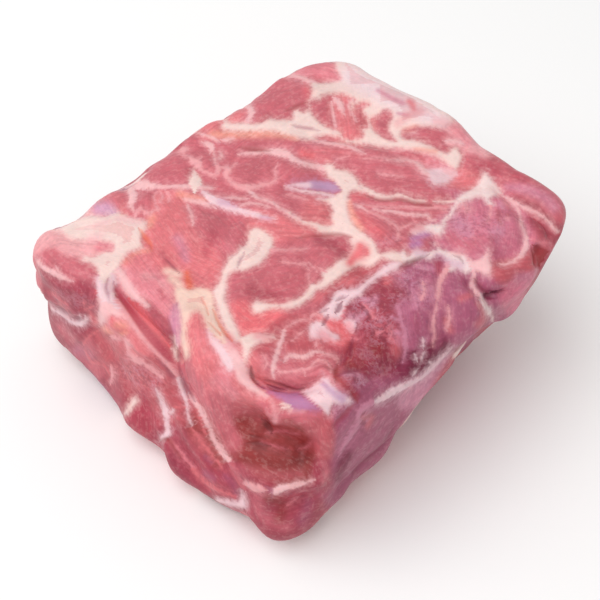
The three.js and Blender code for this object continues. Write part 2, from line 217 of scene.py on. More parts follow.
# What the photograph shows, in its own pixels. Muscles: name, tone, reach and a line along the
# fibres. A point of the flesh belongs to the line that is nearest, counted in its reach.
MUSCLES = (
    # Back corner
    ("back island", "pink", 9, ((292, 73), (315, 73), (338, 76))),
    ("back oval", "rose", 20, ((250, 118), (280, 98), (312, 82))),
    ("left islets", "salmon", 8, ((206, 134), (222, 124), (246, 113))),
    ("salmon of the knuckled island", "salmon", 11, ((344, 104), (350, 138))),
    ("left end of the back band", "rose", 11, ((186, 148), (208, 150))),
    # Back right
    ("leaf island", "rose", 10, ((402, 133), (430, 134), (456, 146))),
    ("back right rim", "pale pink", 10, ((446, 122), (466, 142), (484, 156))),
    ("small red muscle", "pink", 8, ((402, 155), (426, 158), (448, 165))),
    ("long band", "rose", 10, ((330, 158), (360, 160), (396, 164))),
    ("top right muscle", "rose", 16, ((470, 160), (500, 172), (530, 184))),
    ("salmon beside the column", "salmon", 9, ((460, 176), (474, 176))),
    # Left edge
    ("shoulder of the left edge", "rose", 18, ((150, 178), (175, 168), (190, 160))),
    ("second knuckle", "rose", 10, ((146, 190), (144, 212))),
    ("strips under the oval", "rose", 8, ((206, 190), (234, 192), (262, 200), (290, 212))),
    # Middle of the top
    ("broad middle muscle", "salmon", 12, ((262, 224), (290, 228), (318, 230))),
    ("band under the long seam", "rose", 8, ((352, 202), (400, 204), (446, 206))),
    ("red middle right muscle", "rose", 16, ((362, 220), (382, 232), (396, 246))),
    # Right corner
    ("corner muscle's left half", "orchid", 14, ((458, 214), (462, 232), (476, 246))),
    ("corner muscle's right half", "orchid", 13, ((504, 206), (508, 228), (504, 250))),
    ("strip along the corner", "rose", 13, ((508, 182), (530, 192), (548, 204), (560, 220))),
    # Left corner
    ("pink tip of the left corner", "pale pink", 10, ((42, 250), (52, 240), (70, 236))),
    ("pink middle of the left corner", "pale pink", 12, ((66, 246), (84, 248))),
    ("streaked muscle of the left corner", "rose", 14, ((46, 254), (58, 264), (74, 272), (88, 276))),
    ("patch in the pale fat", "pink", 7, ((102, 247), (110, 248))),
    ("fan muscle's left foot", "pink", 12, ((140, 276), (152, 290), (166, 304))),
    ("fan muscle", "salmon", 22, ((164, 214), (176, 232), (190, 252), (208, 262))),
    ("fan muscle's right side", "rose", 20, ((206, 216), (222, 236), (236, 256))),
    # Front half of the top
    ("round end of the broad dark muscle", "rose", 12, ((318, 246), (334, 248), (342, 250))),
    ("broad dark muscle", "rose", 24, ((240, 286), (266, 280), (290, 274), (304, 264))),
    ("long muscle's right end", "brown rose", 9, ((366, 270), (352, 278), (340, 286))),
    ("coral flesh under the broad dark muscle", "coral", 11, ((240, 308), (254, 318), (268, 312))),
    # Right flank
    ("brown lobe of the foot", "brown rose", 9, ((500, 268), (514, 266), (526, 266))),
    ("outer rim of the foot", "orchid", 8, ((530, 276), (520, 286), (510, 298))),
    ("big striped muscle", "light mauve", 24, ((462, 292), (464, 312), (462, 332))),
    ("lilac column", "light mauve", 11, ((420, 274), (424, 292), (428, 312), (428, 336))),
    # Left flank
    ("upper left flank", "dull red", 20, ((52, 284), (66, 294), (78, 304), (90, 312))),
    ("upper left flank's right side", "dull red", 12, ((84, 284), (94, 296), (96, 306))),
    ("middle left flank", "dull red", 22, ((62, 322), (76, 342), (94, 364), (106, 380))),
    ("middle of the left flank's right side", "brown rose", 14, ((106, 338), (112, 350), (106, 360))),
    ("salmon flesh left of the slit", "salmon", 11, ((112, 322), (126, 334), (138, 346))),
    ("dark muscle right of the slit", "brown rose", 9, ((146, 308), (156, 322), (166, 338))),
    ("lilac strip", "lilac pink", 6, ((176, 308), (177, 322), (177, 338))),
    ("salmon muscle of the fibrous fat", "salmon", 11, ((194, 324), (196, 342), (200, 358))),
    ("strip right of the slit's foot", "rose", 8, ((186, 356), (187, 370), (190, 386))),
    ("rough flesh of the left flank", "brown rose", 18, ((122, 370), (140, 376), (152, 384))),
    # Heart muscle and rough cut
    ("heart's middle", "brown rose", 14, ((282, 336), (296, 340), (300, 350))),
    ("heart's lower lobe", "rose", 12, ((284, 364), (300, 378), (318, 374))),
    ("coral bit beside the rough cut", "coral", 9, ((332, 326), (344, 334))),
    ("rough cut", "dull red", 22, ((362, 304), (376, 316), (372, 330), (392, 330))),
    ("muscle over the front", "salmon", 16, ((238, 384), (250, 396), (262, 398))),
    ("strip under the lilac fat", "pink", 10, ((228, 382), (236, 392))),
    # Low right
    ("mauve column", "light mauve", 9, ((406, 312), (408, 330), (412, 346))),
    ("foot of the columns", "plum", 14, ((412, 356), (430, 352), (442, 346))),
    ("narrow column in the cut", "brown rose", 8, ((394, 338), (396, 352))),
    ("deep red muscle of the cut", "deep red", 10, ((382, 342), (384, 356))),
    ("strip under the long pale seam", "lilac pink", 9, ((448, 360), (436, 376), (420, 390), (402, 404))),
    # Low left
    ("red flesh of the wedge", "red", 10, ((144, 394), (145, 408))),
    ("flesh over the wedge", "brown rose", 9, ((152, 392), (156, 402))),
    ("strip right of the seams", "rose", 10, ((222, 402), (228, 420), (236, 438))),
    ("low dark strip", "dull red", 9, ((166, 446), (174, 458), (184, 468))),
    ("front's left shoulder", "brown rose", 14, ((240, 408), (254, 412), (264, 410))),
    ("brown of the front", "brown", 19, ((244, 426), (262, 436), (284, 446), (300, 456))),
    # Front
    ("rose rim of the front", "rose", 8, ((262, 402), (274, 414), (300, 412), (314, 414))),
    ("dull foot right of the front", "dull red", 10, ((322, 466), (324, 478))),
    ("front tip", "dull red", 14, ((262, 508), (282, 514), (300, 506))),
    ("column right of the front", "brown rose", 9, ((316, 424), (321, 438), (324, 452))),
    ("strip over the underside", "mauve", 20, ((392, 414), (374, 430), (360, 450), (344, 472))),
    # Foot of the front
    ("strip left of the foot", "dull red", 8, ((236, 476), (242, 486), (250, 500), (258, 514))),
    ("edge strip of the lower left", "dull red", 8, ((184, 468), (198, 482), (212, 494))),
)

# Broad sheets of fat and skin: name, tissue and outlines.
SHEETS = (
    # Back corner
    ("cap of fat and cream band", "cream fat", ((335, 52), (350, 54), (362, 66), (378, 74), (394, 81),
     (408, 87), (420, 93), (434, 102), (446, 111), (454, 119), (446, 127), (436, 128), (424, 126), (412, 128),
     (403, 131), (401, 135), (404, 139), (416, 141), (428, 145), (438, 150), (447, 154), (455, 147),
     (461, 155), (460, 164), (456, 170), (450, 167), (444, 161), (434, 155), (420, 152), (404, 149),
     (385, 148), (368, 145), (352, 144), (338, 143), (326, 142), (312, 141), (300, 139), (290, 136),
     (276, 132), (262, 131), (246, 132), (232, 131), (224, 130), (222, 126), (226, 119), (230, 123),
     (246, 123), (256, 124), (264, 122), (270, 119), (276, 120), (286, 120), (293, 119), (293, 113),
     (298, 110), (304, 113), (309, 108), (309, 101), (312, 94), (312, 88), (310, 82), (318, 83), (326, 83),
     (334, 82), (341, 80), (339, 74), (336, 68))),
    # Back right
    ("lilac fat of the long band", "lilac fat", ((424, 171), (432, 169), (441, 168), (449, 168), (456, 171),
     (457, 176), (451, 181), (448, 184), (441, 185), (434, 185), (430, 181), (427, 176))),
    # Middle of the top
    ("river of fat", "cream fat", ((319, 167), (326, 165), (333, 164), (335, 169), (346, 171), (354, 176),
     (358, 181), (360, 187), (368, 190), (366, 193), (356, 191), (350, 193), (348, 200), (348, 210),
     (350, 218), (355, 226), (362, 232), (370, 238), (375, 245), (377, 253), (374, 262), (368, 262),
     (368, 254), (362, 246), (356, 242), (350, 237), (340, 235), (325, 234), (318, 232), (315, 228),
     (306, 225), (296, 221), (288, 214), (290, 212), (298, 219), (306, 221), (316, 223), (326, 226),
     (333, 224), (331, 219), (333, 213), (331, 207), (327, 203), (320, 200), (328, 198), (336, 195),
     (341, 191), (337, 186), (334, 181), (328, 178), (326, 172))),
    ("silverskin", "silverskin", ((287, 186), (294, 183), (304, 182), (312, 180), (320, 181), (329, 182),
     (336, 184), (341, 190), (334, 193), (325, 192), (316, 191), (306, 190), (297, 188))),
    # Right corner
    ("white fat of the right corner", "white fat", ((484, 172), (479, 182), (472, 189), (462, 194),
     (456, 200), (452, 208), (449, 214), (443, 219), (441, 226), (441, 233), (437, 237), (441, 237),
     (445, 228), (446, 221), (452, 216), (456, 208), (460, 203), (470, 200), (480, 197), (485, 201),
     (488, 205), (493, 205), (490, 200), (493, 197), (500, 196), (503, 195), (500, 190), (497, 185),
     (492, 180), (487, 174))),
    ("white of the knot", "white fat", ((411, 229), (418, 226), (427, 225), (434, 224), (443, 226),
     (441, 235), (437, 239), (433, 233), (425, 231), (417, 233), (412, 233))),
    ("fat under the knot", "white fat", ((398, 256), (404, 250), (408, 256), (414, 250), (420, 250),
     (428, 252), (436, 250), (434, 243), (437, 242), (440, 248), (446, 251), (456, 251), (463, 254),
     (468, 260), (472, 270), (466, 274), (458, 270), (450, 272), (446, 262), (440, 256), (430, 259),
     (420, 259), (410, 262), (402, 263))),
    ("pink fat under the corner muscle", "blush fat", ((464, 254), (472, 260), (480, 259), (486, 252),
     (489, 248), (490, 258), (492, 270), (488, 276), (478, 272), (470, 270))),
    # Left corner
    ("pale fat of the left corner", "cream fat", ((56, 229), (62, 225), (72, 221), (82, 218), (92, 216),
     (104, 217), (116, 213), (122, 214), (130, 217), (138, 219), (146, 222), (145, 230), (141, 238),
     (142, 246), (138, 250), (130, 252), (124, 258), (121, 263), (119, 268), (112, 276), (107, 284),
     (107, 298), (100, 298), (98, 286), (98, 272), (95, 266), (88, 262), (84, 262), (84, 256), (92, 258),
     (99, 255), (105, 252), (112, 252), (114, 248), (113, 244), (106, 242), (98, 241), (92, 240), (80, 240),
     (72, 239), (66, 236), (62, 232))),
    ("lilac fat beside the slit", "lilac fat", ((96, 278), (100, 276), (106, 282), (108, 274), (112, 272),
     (116, 276), (118, 284), (114, 290), (116, 300), (122, 306), (118, 312), (110, 304), (104, 306),
     (98, 300))),
    ("pink fat right of the slit", "blush fat", ((118, 266), (122, 268), (126, 274), (132, 284), (138, 293),
     (144, 299), (150, 306), (146, 308), (140, 303), (132, 300), (127, 296), (122, 288), (117, 279),
     (113, 272))),
    # Front half of the top
    ("broad fat of the middle", "cream fat", ((249, 233), (252, 229), (257, 228), (263, 230), (268, 234),
     (272, 238), (273, 246), (270, 252), (266, 258), (260, 264), (252, 268), (244, 271), (236, 271),
     (230, 274), (227, 282), (226, 292), (225, 300), (229, 310), (233, 320), (238, 330), (241, 338),
     (236, 344), (230, 336), (224, 326), (220, 316), (217, 306), (214, 298), (213, 291), (217, 286),
     (221, 279), (222, 272), (226, 265), (230, 258), (236, 254), (241, 248), (245, 246), (248, 240))),
    ("long fat under the dark muscle", "cream fat", ((350, 238), (352, 246), (350, 254), (344, 259),
     (337, 262), (331, 268), (323, 273), (322, 280), (316, 284), (310, 284), (307, 291), (300, 298),
     (292, 301), (284, 304), (275, 304), (264, 303), (255, 302), (252, 308), (255, 313), (262, 313),
     (270, 309), (282, 309), (292, 308), (299, 306), (306, 301), (312, 297), (316, 291), (323, 289),
     (331, 284), (338, 279), (346, 273), (354, 268), (362, 266), (371, 267), (378, 262), (382, 258),
     (392, 262), (402, 262), (402, 254), (390, 252), (380, 254), (376, 246), (372, 240), (362, 236))),
    ("fat of the rough cut's left edge", "lilac fat", ((326, 306), (331, 300), (334, 294), (340, 290),
     (348, 290), (356, 289), (362, 285), (368, 279), (375, 274), (382, 268), (392, 262), (402, 262),
     (400, 268), (392, 272), (385, 276), (378, 279), (372, 284), (365, 290), (360, 296), (352, 300),
     (347, 306), (344, 312), (342, 318), (335, 320), (329, 318), (322, 316), (320, 311))),
    # Left flank
    ("fibrous fat", "yellow fat", ((176, 290), (182, 288), (190, 290), (200, 288), (210, 290), (214, 296),
     (215, 306), (218, 316), (222, 326), (226, 334), (230, 342), (228, 350), (222, 344), (216, 338),
     (210, 334), (206, 326), (203, 318), (198, 312), (192, 314), (188, 322), (187, 334), (189, 344),
     (190, 354), (186, 358), (183, 350), (181, 338), (182, 326), (181, 314), (178, 304), (175, 296))),
    ("lilac fat right of the salmon muscle", "lilac fat", ((207, 328), (212, 334), (218, 340), (226, 348),
     (232, 356), (236, 366), (230, 372), (224, 366), (219, 356), (213, 346), (209, 338))),
    ("pale foot of the big left fat", "blush fat", ((98, 296), (108, 300), (118, 306), (124, 314), (128, 320),
     (120, 318), (110, 316), (106, 322), (101, 326), (98, 318), (99, 306))),
    # Heart muscle and rough cut
    ("fat left of the heart", "cream fat", ((238, 338), (244, 336), (252, 333), (262, 333), (272, 335),
     (276, 338), (268, 341), (258, 344), (252, 349), (249, 356), (246, 364), (243, 358), (243, 349),
     (240, 343))),
    ("long strands left of the heart", "blush fat", ((226, 336), (231, 339), (236, 346), (240, 354),
     (245, 362), (250, 370), (252, 378), (256, 384), (264, 391), (270, 396), (266, 398), (256, 394),
     (246, 388), (238, 380), (234, 370), (230, 360), (226, 350), (222, 342))),
    ("lilac fat under the heart", "lilac fat", ((322, 378), (328, 379), (334, 386), (342, 392), (350, 399),
     (352, 403), (342, 404), (334, 404), (328, 396))),
    ("lilac fat right of the heart", "lilac fat", ((311, 324), (318, 321), (325, 322), (327, 328), (332, 332),
     (339, 336), (338, 341), (328, 341), (318, 340), (311, 338), (309, 331))),
    ("fat at the rough cut's left", "lilac fat", ((343, 321), (350, 320), (356, 322), (355, 330), (351, 333),
     (347, 328))),
    # Low left
    ("white wedge", "cream fat", ((137, 397), (138, 402), (134, 408), (129, 413), (125, 415), (125, 411),
     (129, 405), (132, 399), (135, 396))),
    # Front
    ("pale fat of the front", "lilac fat", ((302, 392), (309, 389), (316, 384), (322, 381), (327, 384),
     (332, 391), (335, 394), (334, 402), (331, 409), (328, 415), (323, 410), (316, 404), (308, 398))),
    ("lilac skin under the flap", "violet", ((257, 384), (266, 389), (276, 391), (288, 393), (298, 393),
     (306, 398), (313, 403), (322, 410), (312, 410), (300, 410), (290, 407), (282, 401), (272, 395),
     (262, 389))),
    # Foot of the front
    ("pale corner of the left foot", "lilac fat", ((241, 489), (245, 495), (247, 503), (246, 508), (240, 508),
     (232, 506), (222, 503), (214, 501), (216, 498), (228, 499), (237, 501), (240, 497))),
)

# Islands of flesh in the sheets: name and outlines.
ISLANDS = (
    ("knuckled island", ((310, 101), (316, 99), (320, 99), (322, 96), (332, 94), (343, 94), (350, 97),
     (355, 101), (350, 104), (351, 110), (354, 114), (353, 107), (357, 104), (364, 102), (370, 105),
     (364, 108), (363, 112), (367, 117), (369, 124), (366, 129), (362, 130), (364, 135), (361, 139),
     (350, 141), (342, 138), (340, 132), (334, 130), (326, 127), (319, 122), (313, 116), (309, 109)),
     ((370, 122), (373, 117), (379, 115), (383, 111), (390, 111), (393, 117), (390, 123), (389, 130),
     (392, 136), (396, 142), (388, 140), (380, 136), (374, 131)),
     ((314, 138), (322, 136), (333, 136), (341, 139), (347, 143), (338, 143), (326, 142), (317, 140))),
)

# Seams of fat and sinew, and one painted highlight: name, tissue, and lines of pixels with the seam's width
# at each.
SEAMS = (
    # Back corner
    ("pale finger and threads of the knuckled island", "blush fat", ((336, 100, 5), (340, 105, 7),
     (342, 110, 4), (344, 114, 1)),
     ((332, 104, 2), (333, 115, 2.5), (335, 126, 1.5)),
     ((353, 100, 4), (349, 106, 3), (352, 113, 2.5), (356, 120, 1.5)),
     ((360, 108, 1), (366, 106, 2))),
    ("seams of the back oval", "blush fat", ((288, 76, 2), (298, 77, 3), (306, 80, 4), (314, 84, 5)),
     ((246, 106, 4), (251, 110, 6), (250, 118, 5), (247, 122, 4))),
    ("pale lines of the back band", "blush fat", ((200, 134, 2), (209, 137, 3), (218, 141, 2)),
     ((223, 140, 2), (228, 140, 4), (233, 139, 1.5)),
     ((311, 140, 2), (325, 143, 3), (340, 145, 3.5), (352, 148, 3.5), (363, 153, 2)),
     ((204, 143, 2), (209, 145, 6), (212, 149, 5), (211, 152, 2)),
     ((213, 151, 2), (215, 157, 2.5), (216, 164, 2.5)),
     ((219, 152, 2), (221, 155, 4), (220, 159, 1.5))),
    ("seam over the oval", "blush fat", ((240, 154, 1.5), (252, 153, 3), (264, 152, 4), (276, 152, 7),
     (286, 154, 7), (293, 159, 6), (302, 163, 5), (314, 166, 5), (324, 169, 7))),
    # Back right
    ("seam under the small red muscle", "blush fat", ((384, 159, 1), (396, 160, 1.5), (408, 161, 2.5),
     (416, 163, 3.5), (421, 168, 5), (427, 173, 6), (434, 176, 5))),
    ("pale lines of the leaf island", "blush fat", ((402, 131, 2), (410, 133, 2), (416, 132, 1)),
     ((446, 141, 3), (456, 142, 4), (462, 144, 3))),
    # Left edge
    ("seams of the shoulder", "pale pink", ((184, 156, 3), (190, 158, 4), (194, 162, 7), (198, 164, 8),
     (200, 169, 4), (206, 172, 3), (212, 175, 3.5), (215, 177, 2)),
     ((197, 162, 4), (200, 159, 2)),
     ((213, 152, 2), (216, 158, 2), (217, 165, 3), (219, 170, 5), (214, 176, 2)),
     ((180, 152, 3), (184, 150, 6), (188, 149, 2))),
    ("fat tooth", "cream fat", ((194, 171, 2), (195, 177, 6), (195, 184, 14))),
    ("level seam", "blush fat", ((126, 189, 3), (136, 187, 5), (144, 185, 9), (152, 186, 6), (162, 187, 3.5),
     (174, 187, 3.5), (186, 187, 5), (202, 188, 5), (212, 188, 2))),
    ("fat between the knuckles", "blush fat", ((131, 189, 8), (133, 197, 8), (131, 205, 4), (133, 210, 2))),
    ("curl line", "pale pink", ((155, 194, 1.5), (158, 191, 1.5)),
     ((166, 191, 2), (169, 195, 2.5), (169, 200, 1.5)),
     ((160, 202, 2), (163, 197, 2), (161, 193, 1)),
     ((154, 198, 1.5), (156, 205, 2), (158, 210, 2))),
    ("pale foot of the knuckles", "pale pink", ((136, 214, 4), (141, 209, 3), (147, 214, 4), (154, 211, 3),
     (159, 209, 2)),
     ((120, 216, 3), (132, 219, 4), (142, 220, 4))),
    ("grey-edged fat", "lilac fat", ((203, 192, 3), (208, 196, 6), (214, 201, 8), (223, 204, 9),
     (232, 208, 7), (241, 211, 5), (251, 214, 5), (262, 217, 5), (274, 219, 2))),
    ("cream streak over the fan", "blush fat", ((186, 200, 3), (196, 202, 4), (206, 204, 4), (214, 207, 3)),
     ((188, 206, 2), (191, 214, 2.5), (193, 223, 1.5))),
    ("strips under the oval", "blush fat", ((212, 195, 1.5), (222, 198, 2), (234, 198, 2), (247, 199, 1)),
     ((236, 209, 2), (246, 204, 2.5), (258, 204, 2), (268, 207, 1.5)),
     ((250, 192, 4), (256, 197, 3.5), (262, 200, 3), (270, 202, 3), (278, 207, 3), (284, 211, 3),
     (292, 216, 4), (300, 220, 4))),
    ("patch at the oval's left", "pale pink", ((223, 168, 3), (228, 170, 7), (226, 175, 5), (228, 179, 3.5),
     (234, 184, 4.5), (241, 187, 5), (249, 188, 7), (256, 187, 5), (264, 185, 4), (272, 183, 2.5),
     (276, 178, 3), (275, 172, 2), (277, 165, 1)),
     ((230, 168, 2), (236, 164, 1.5))),
    # Middle of the top
    ("lines under the silverskin", "lilac fat", ((287, 187, 2), (298, 190, 2.5), (310, 192, 3),
     (322, 194, 3.5), (334, 197, 4)),
     ((317, 199, 1.5), (328, 200, 3), (336, 202, 3))),
    ("pink line under the silverskin", "pale pink", ((288, 195, 1.5), (298, 197, 2), (308, 200, 1.5))),
    ("long seam", "cream fat", ((358, 186, 4), (366, 190, 5), (374, 194, 4.5), (382, 197, 3.5), (391, 197, 3),
     (399, 195, 3), (408, 198, 2.5), (416, 201, 2.5), (424, 201, 1.5)),
     ((436, 202, 2), (448, 202, 2), (456, 201, 1.5))),
    ("pale lines of the middle right", "pale pink", ((356, 204, 1.2), (372, 206, 1.5), (390, 208, 2),
     (406, 207, 2), (422, 208, 2), (438, 208, 2), (448, 211, 1.5)),
     ((364, 209, 1.5), (378, 215, 2), (390, 222, 2), (398, 229, 2.5), (398, 238, 1.5)),
     ((399, 230, 2), (407, 226, 2), (414, 223, 1.5)),
     ((362, 159, 1), (380, 158, 1.5), (397, 160, 1)),
     ((378, 174, 1), (390, 175, 1.5), (402, 177, 1)),
     ((336, 160, 1.5), (348, 156, 1))),
    ("cream line of the middle right", "blush fat", ((374, 209, 1.5), (384, 211, 2.5), (395, 212, 2.5),
     (406, 214, 2.5), (418, 215, 2.5), (428, 216, 2.5), (431, 221, 2.5), (436, 220, 1.5)),
     ((355, 205, 1.5), (361, 207, 3), (368, 212, 1.5))),
    # Right corner
    ("corner seam", "blush fat", ((500, 195, 3), (506, 198, 3.5), (513, 202, 4), (521, 206, 4),
     (530, 210, 3.5), (540, 215, 3), (548, 221, 3), (553, 227, 3), (558, 232, 3))),
    ("branch of the corner seam", "blush fat", ((513, 202, 4), (517, 208, 3.5), (520, 216, 3), (521, 223, 3),
     (524, 231, 3), (526, 238, 4.5), (526, 246, 5.5), (523, 253, 5), (517, 259, 3.5), (510, 263, 2.5),
     (504, 265, 2), (499, 264, 1))),
    ("seam in the corner muscle", "pale pink", ((487, 200, 4), (490, 206, 3), (491, 213, 2), (488, 220, 1))),
    ("pink bits over the hole", "pink", ((532, 240, 2), (541, 243, 4), (549, 243, 2))),
    # Left corner
    ("white line of the left corner", "blush fat", ((38, 261, 2), (42, 266, 3.5), (48, 270, 5),
     (54, 273, 5.5), (60, 276, 5), (66, 279, 3.5), (71, 281, 1.5)),
     ((57, 268, 1), (59, 273, 3))),
    # Front half of the top
    ("lines over the broad dark muscle", "pale pink", ((270, 250, 4), (280, 250, 2.5), (292, 250, 1.5),
     (306, 249, 1.5)),
     ((282, 262, 1), (298, 264, 1), (304, 264, 2.5), (308, 268, 1.5)),
     ((309, 274, 1), (309, 281, 2), (312, 284, 2)),
     ((320, 268, 2), (326, 272, 2)),
     ((310, 264, 1), (316, 270, 1.5))),
    # Right flank
    ("pale seam left of the big muscle", "pale pink", ((449, 262, 6), (447, 270, 6), (442, 277, 5),
     (439, 285, 4), (438, 294, 4), (437, 302, 2.5), (436, 310, 1.5))),
    ("thin seams of the columns", "pale pink", ((434, 313, 1.5), (433, 324, 3), (434, 334, 2),
     (433, 344, 1.5)),
     ((423, 284, 2), (424, 292, 3), (422, 298, 2)),
     ((448, 308, 2), (449, 318, 3.5), (447, 328, 2))),
    ("pale seam right of the big muscle", "blush fat", ((472, 268, 5), (474, 276, 5), (472, 283, 4),
     (475, 290, 5), (479, 296, 5))),
    ("white streak of the big muscle", "white fat", ((480, 295, 4), (483, 302, 5), (487, 309, 5.5),
     (491, 316, 4), (492, 319, 1.5))),
    # Left flank
    ("left shore of the slit", "pale pink", ((116, 302, 6), (124, 312, 7), (132, 322, 6), (140, 334, 5),
     (147, 343, 4), (156, 352, 4), (164, 360, 4.5), (172, 369, 5), (178, 376, 4))),
    ("coral shore of the slit", "coral", ((129, 298, 1.5), (136, 306, 4), (145, 318, 4.5), (154, 328, 4),
     (163, 338, 3.5), (170, 347, 2))),
    ("white line of the left flank", "lilac fat", ((50, 307, 2.5), (57, 311, 3.5), (64, 315, 3.5),
     (70, 320, 3.5), (76, 323, 4.5), (82, 323, 6), (86, 320, 4), (86, 317, 2)),
     ((80, 317, 1), (81, 321, 2))),
    # Painted highlight: the wet sheen at the slit's edge, laid as white fat.
    ("white edge of the slit", "white fat", ((109, 281, 2), (111, 288, 4), (112, 295, 5), (115, 303, 2))),
    ("pale bits left of the slit", "pale pink", ((114, 337, 4), (120, 339, 3)),
     ((126, 338, 3), (128, 343, 6), (129, 349, 4), (130, 353, 3)),
     ((130, 354, 4), (136, 359, 6), (142, 362, 5)),
     ((142, 362, 3), (149, 366, 4), (155, 371, 4), (161, 376, 3.5)),
     ((112, 368, 3), (113, 375, 4), (111, 382, 2))),
    ("pale end of the slit's right side", "cream fat", ((174, 338, 2), (175, 346, 4), (176, 354, 4.5),
     (177, 359, 2))),
    ("network of the left flank", "salmon", ((84, 344, 1), (88, 338, 2), (94, 333, 2), (100, 330, 1)),
     ((86, 350, 1), (90, 360, 2), (98, 364, 1.5)),
     ((98, 362, 1), (106, 368, 1.5), (110, 376, 1.5)),
     ((96, 290, 1), (97, 296, 1.5)),
     ((52, 292, 1), (58, 298, 1.5), (66, 304, 1)),
     ((84, 304, 1.2), (86, 309, 1.5), (92, 307, 1.5)),
     ((60, 303, 1), (66, 309, 1.5))),
    # Heart muscle and rough cut
    ("curl beside the rough cut", "pale pink", ((310, 323, 1), (312, 315, 2.5), (319, 315, 2.5),
     (323, 320, 1.5))),
    ("long seam of the heart", "blush fat", ((284, 331, 3), (282, 339, 4), (279, 347, 4), (276, 355, 4.5),
     (274, 362, 4), (273, 368, 4.5), (273, 374, 3), (274, 377, 1))),
    ("level seam of the heart", "blush fat", ((285, 360, 2), (289, 356, 4), (296, 357, 4), (304, 357, 4),
     (311, 354, 3.5), (318, 352, 2), (326, 354, 1))),
    ("thin seams of the heart", "pale pink", ((280, 372, 3), (288, 372, 2.5), (296, 371, 2), (303, 369, 2.5),
     (305, 373, 2)),
     ((305, 370, 2), (312, 366, 2.5), (317, 361, 3), (324, 361, 2.5), (330, 366, 2), (331, 371, 1)),
     ((293, 340, 1), (299, 335, 2), (304, 331, 1.5)),
     ((316, 345, 2), (318, 339, 2)),
     ((320, 356, 2), (328, 355, 3), (336, 358, 3), (338, 362, 1.5)),
     ((263, 355, 1), (267, 362, 2), (265, 368, 1)),
     ((284, 329, 1.5), (292, 324, 2.5), (302, 320, 2.5), (310, 320, 1.5))),
    ("pale lines beside the rough cut", "pink", ((346, 306, 2), (344, 313, 3), (343, 320, 2.5),
     (348, 326, 1.5)),
     ((364, 305, 1.5), (370, 311, 2.5), (373, 317, 3), (376, 319, 2)),
     ((352, 338, 2), (358, 339, 2)),
     ((376, 327, 1), (377, 333, 2), (382, 332, 1.5)),
     ((388, 329, 1), (392, 333, 2.5), (390, 338, 2))),
    # Low right
    ("long pale seam of the right", "lilac fat", ((452, 347, 1.5), (445, 354, 3), (437, 362, 3.5),
     (430, 369, 4), (424, 375, 4), (416, 380, 4.5), (408, 384, 5), (400, 388, 6), (392, 392, 6.5),
     (384, 397, 6), (376, 401, 5), (370, 403, 3))),
    ("pale seam of the cut's right side", "lilac pink", ((397, 306, 1.5), (400, 315, 4), (402, 324, 4),
     (405, 332, 4.5), (405, 342, 4.5), (405, 352, 4), (403, 360, 2))),
    ("white bits under the columns", "lilac fat", ((431, 363, 2), (433, 366, 3), (431, 369, 2)),
     ((415, 356, 2), (416, 359, 2.5)),
     ((423, 354, 1.5), (421, 359, 2.5)),
     ((423, 340, 1.5), (423, 346, 2.5)),
     ((414, 374, 2), (416, 371, 1.5))),
    # Low left
    ("white seam of the lower left", "lilac fat", ((157, 391, 2), (160, 397, 3.5), (163, 404, 5),
     (166, 411, 7), (167, 419, 5), (168, 427, 5), (168, 433, 6), (164, 437, 5), (161, 440, 2)),
     ((167, 412, 4), (172, 412, 3.5), (174, 409, 1.5))),
    ("lilac seam beside the strip", "lilac fat", ((176, 372, 2), (179, 380, 4), (182, 388, 4.5),
     (185, 396, 5), (187, 404, 3), (188, 414, 2), (191, 424, 1.5))),
    ("cross seam", "salmon", ((175, 407, 1), (181, 407, 2), (187, 406, 1.5))),
    ("long seam of the lower left", "blush fat", ((190, 396, 4), (195, 402, 5), (200, 409, 6),
     (204, 416, 5.5), (208, 425, 5), (212, 434, 5), (216, 442, 5), (221, 450, 5), (227, 458, 4.5),
     (232, 464, 4))),
    ("second seam of the lower left", "salmon", ((197, 408, 2), (200, 418, 2.5), (203, 427, 3),
     (206, 434, 2)),
     ((192, 428, 1), (199, 438, 2.5), (206, 447, 3), (214, 457, 2.5), (222, 466, 2))),
    # Front
    ("pale seam right of the bracket", "lilac pink", ((372, 402, 6), (364, 406, 7), (358, 412, 5),
     (358, 422, 4), (353, 431, 5), (347, 439, 5), (342, 447, 4), (338, 456, 2))),
    ("pale spot of the front", "cream fat", ((283, 404, 2), (287, 403, 4), (291, 407, 2), (285, 408, 2))),
    ("pale foot of the front", "blush fat", ((272, 493, 2), (276, 491, 7), (283, 488, 7), (291, 486, 5.5),
     (299, 484, 4.5), (307, 482, 3.5), (313, 480, 1.5))),
    ("pink foot of the front", "pale pink", ((244, 482, 2), (250, 485, 6), (257, 488, 8), (264, 490, 4))),
    ("thin lines of the front", "rose", ((268, 433, 1.5), (282, 431, 2), (298, 434, 1.5)),
     ((262, 443, 1.5), (274, 446, 2), (286, 449, 1.5)),
     ((300, 449, 1), (308, 446, 2), (312, 441, 1))),
    ("pale streak of the tip", "pink", ((289, 504, 1.5), (294, 500, 3), (298, 497, 1.5))),
    # Foot of the front
    ("foot of the thin seam", "salmon", ((193, 468, 3.5), (200, 477, 3.5), (208, 484, 3.5), (216, 489, 3),
     (226, 493, 2.5), (236, 497, 1.5))),
    ("thin seam of the lower left", "pink", ((170, 440, 1.5), (178, 449, 2.5), (186, 459, 2.5),
     (194, 468, 2.5))),
    ("foot of the long seam", "rose", ((230, 462, 5), (235, 471, 6), (239, 480, 6), (244, 488, 3))),
)
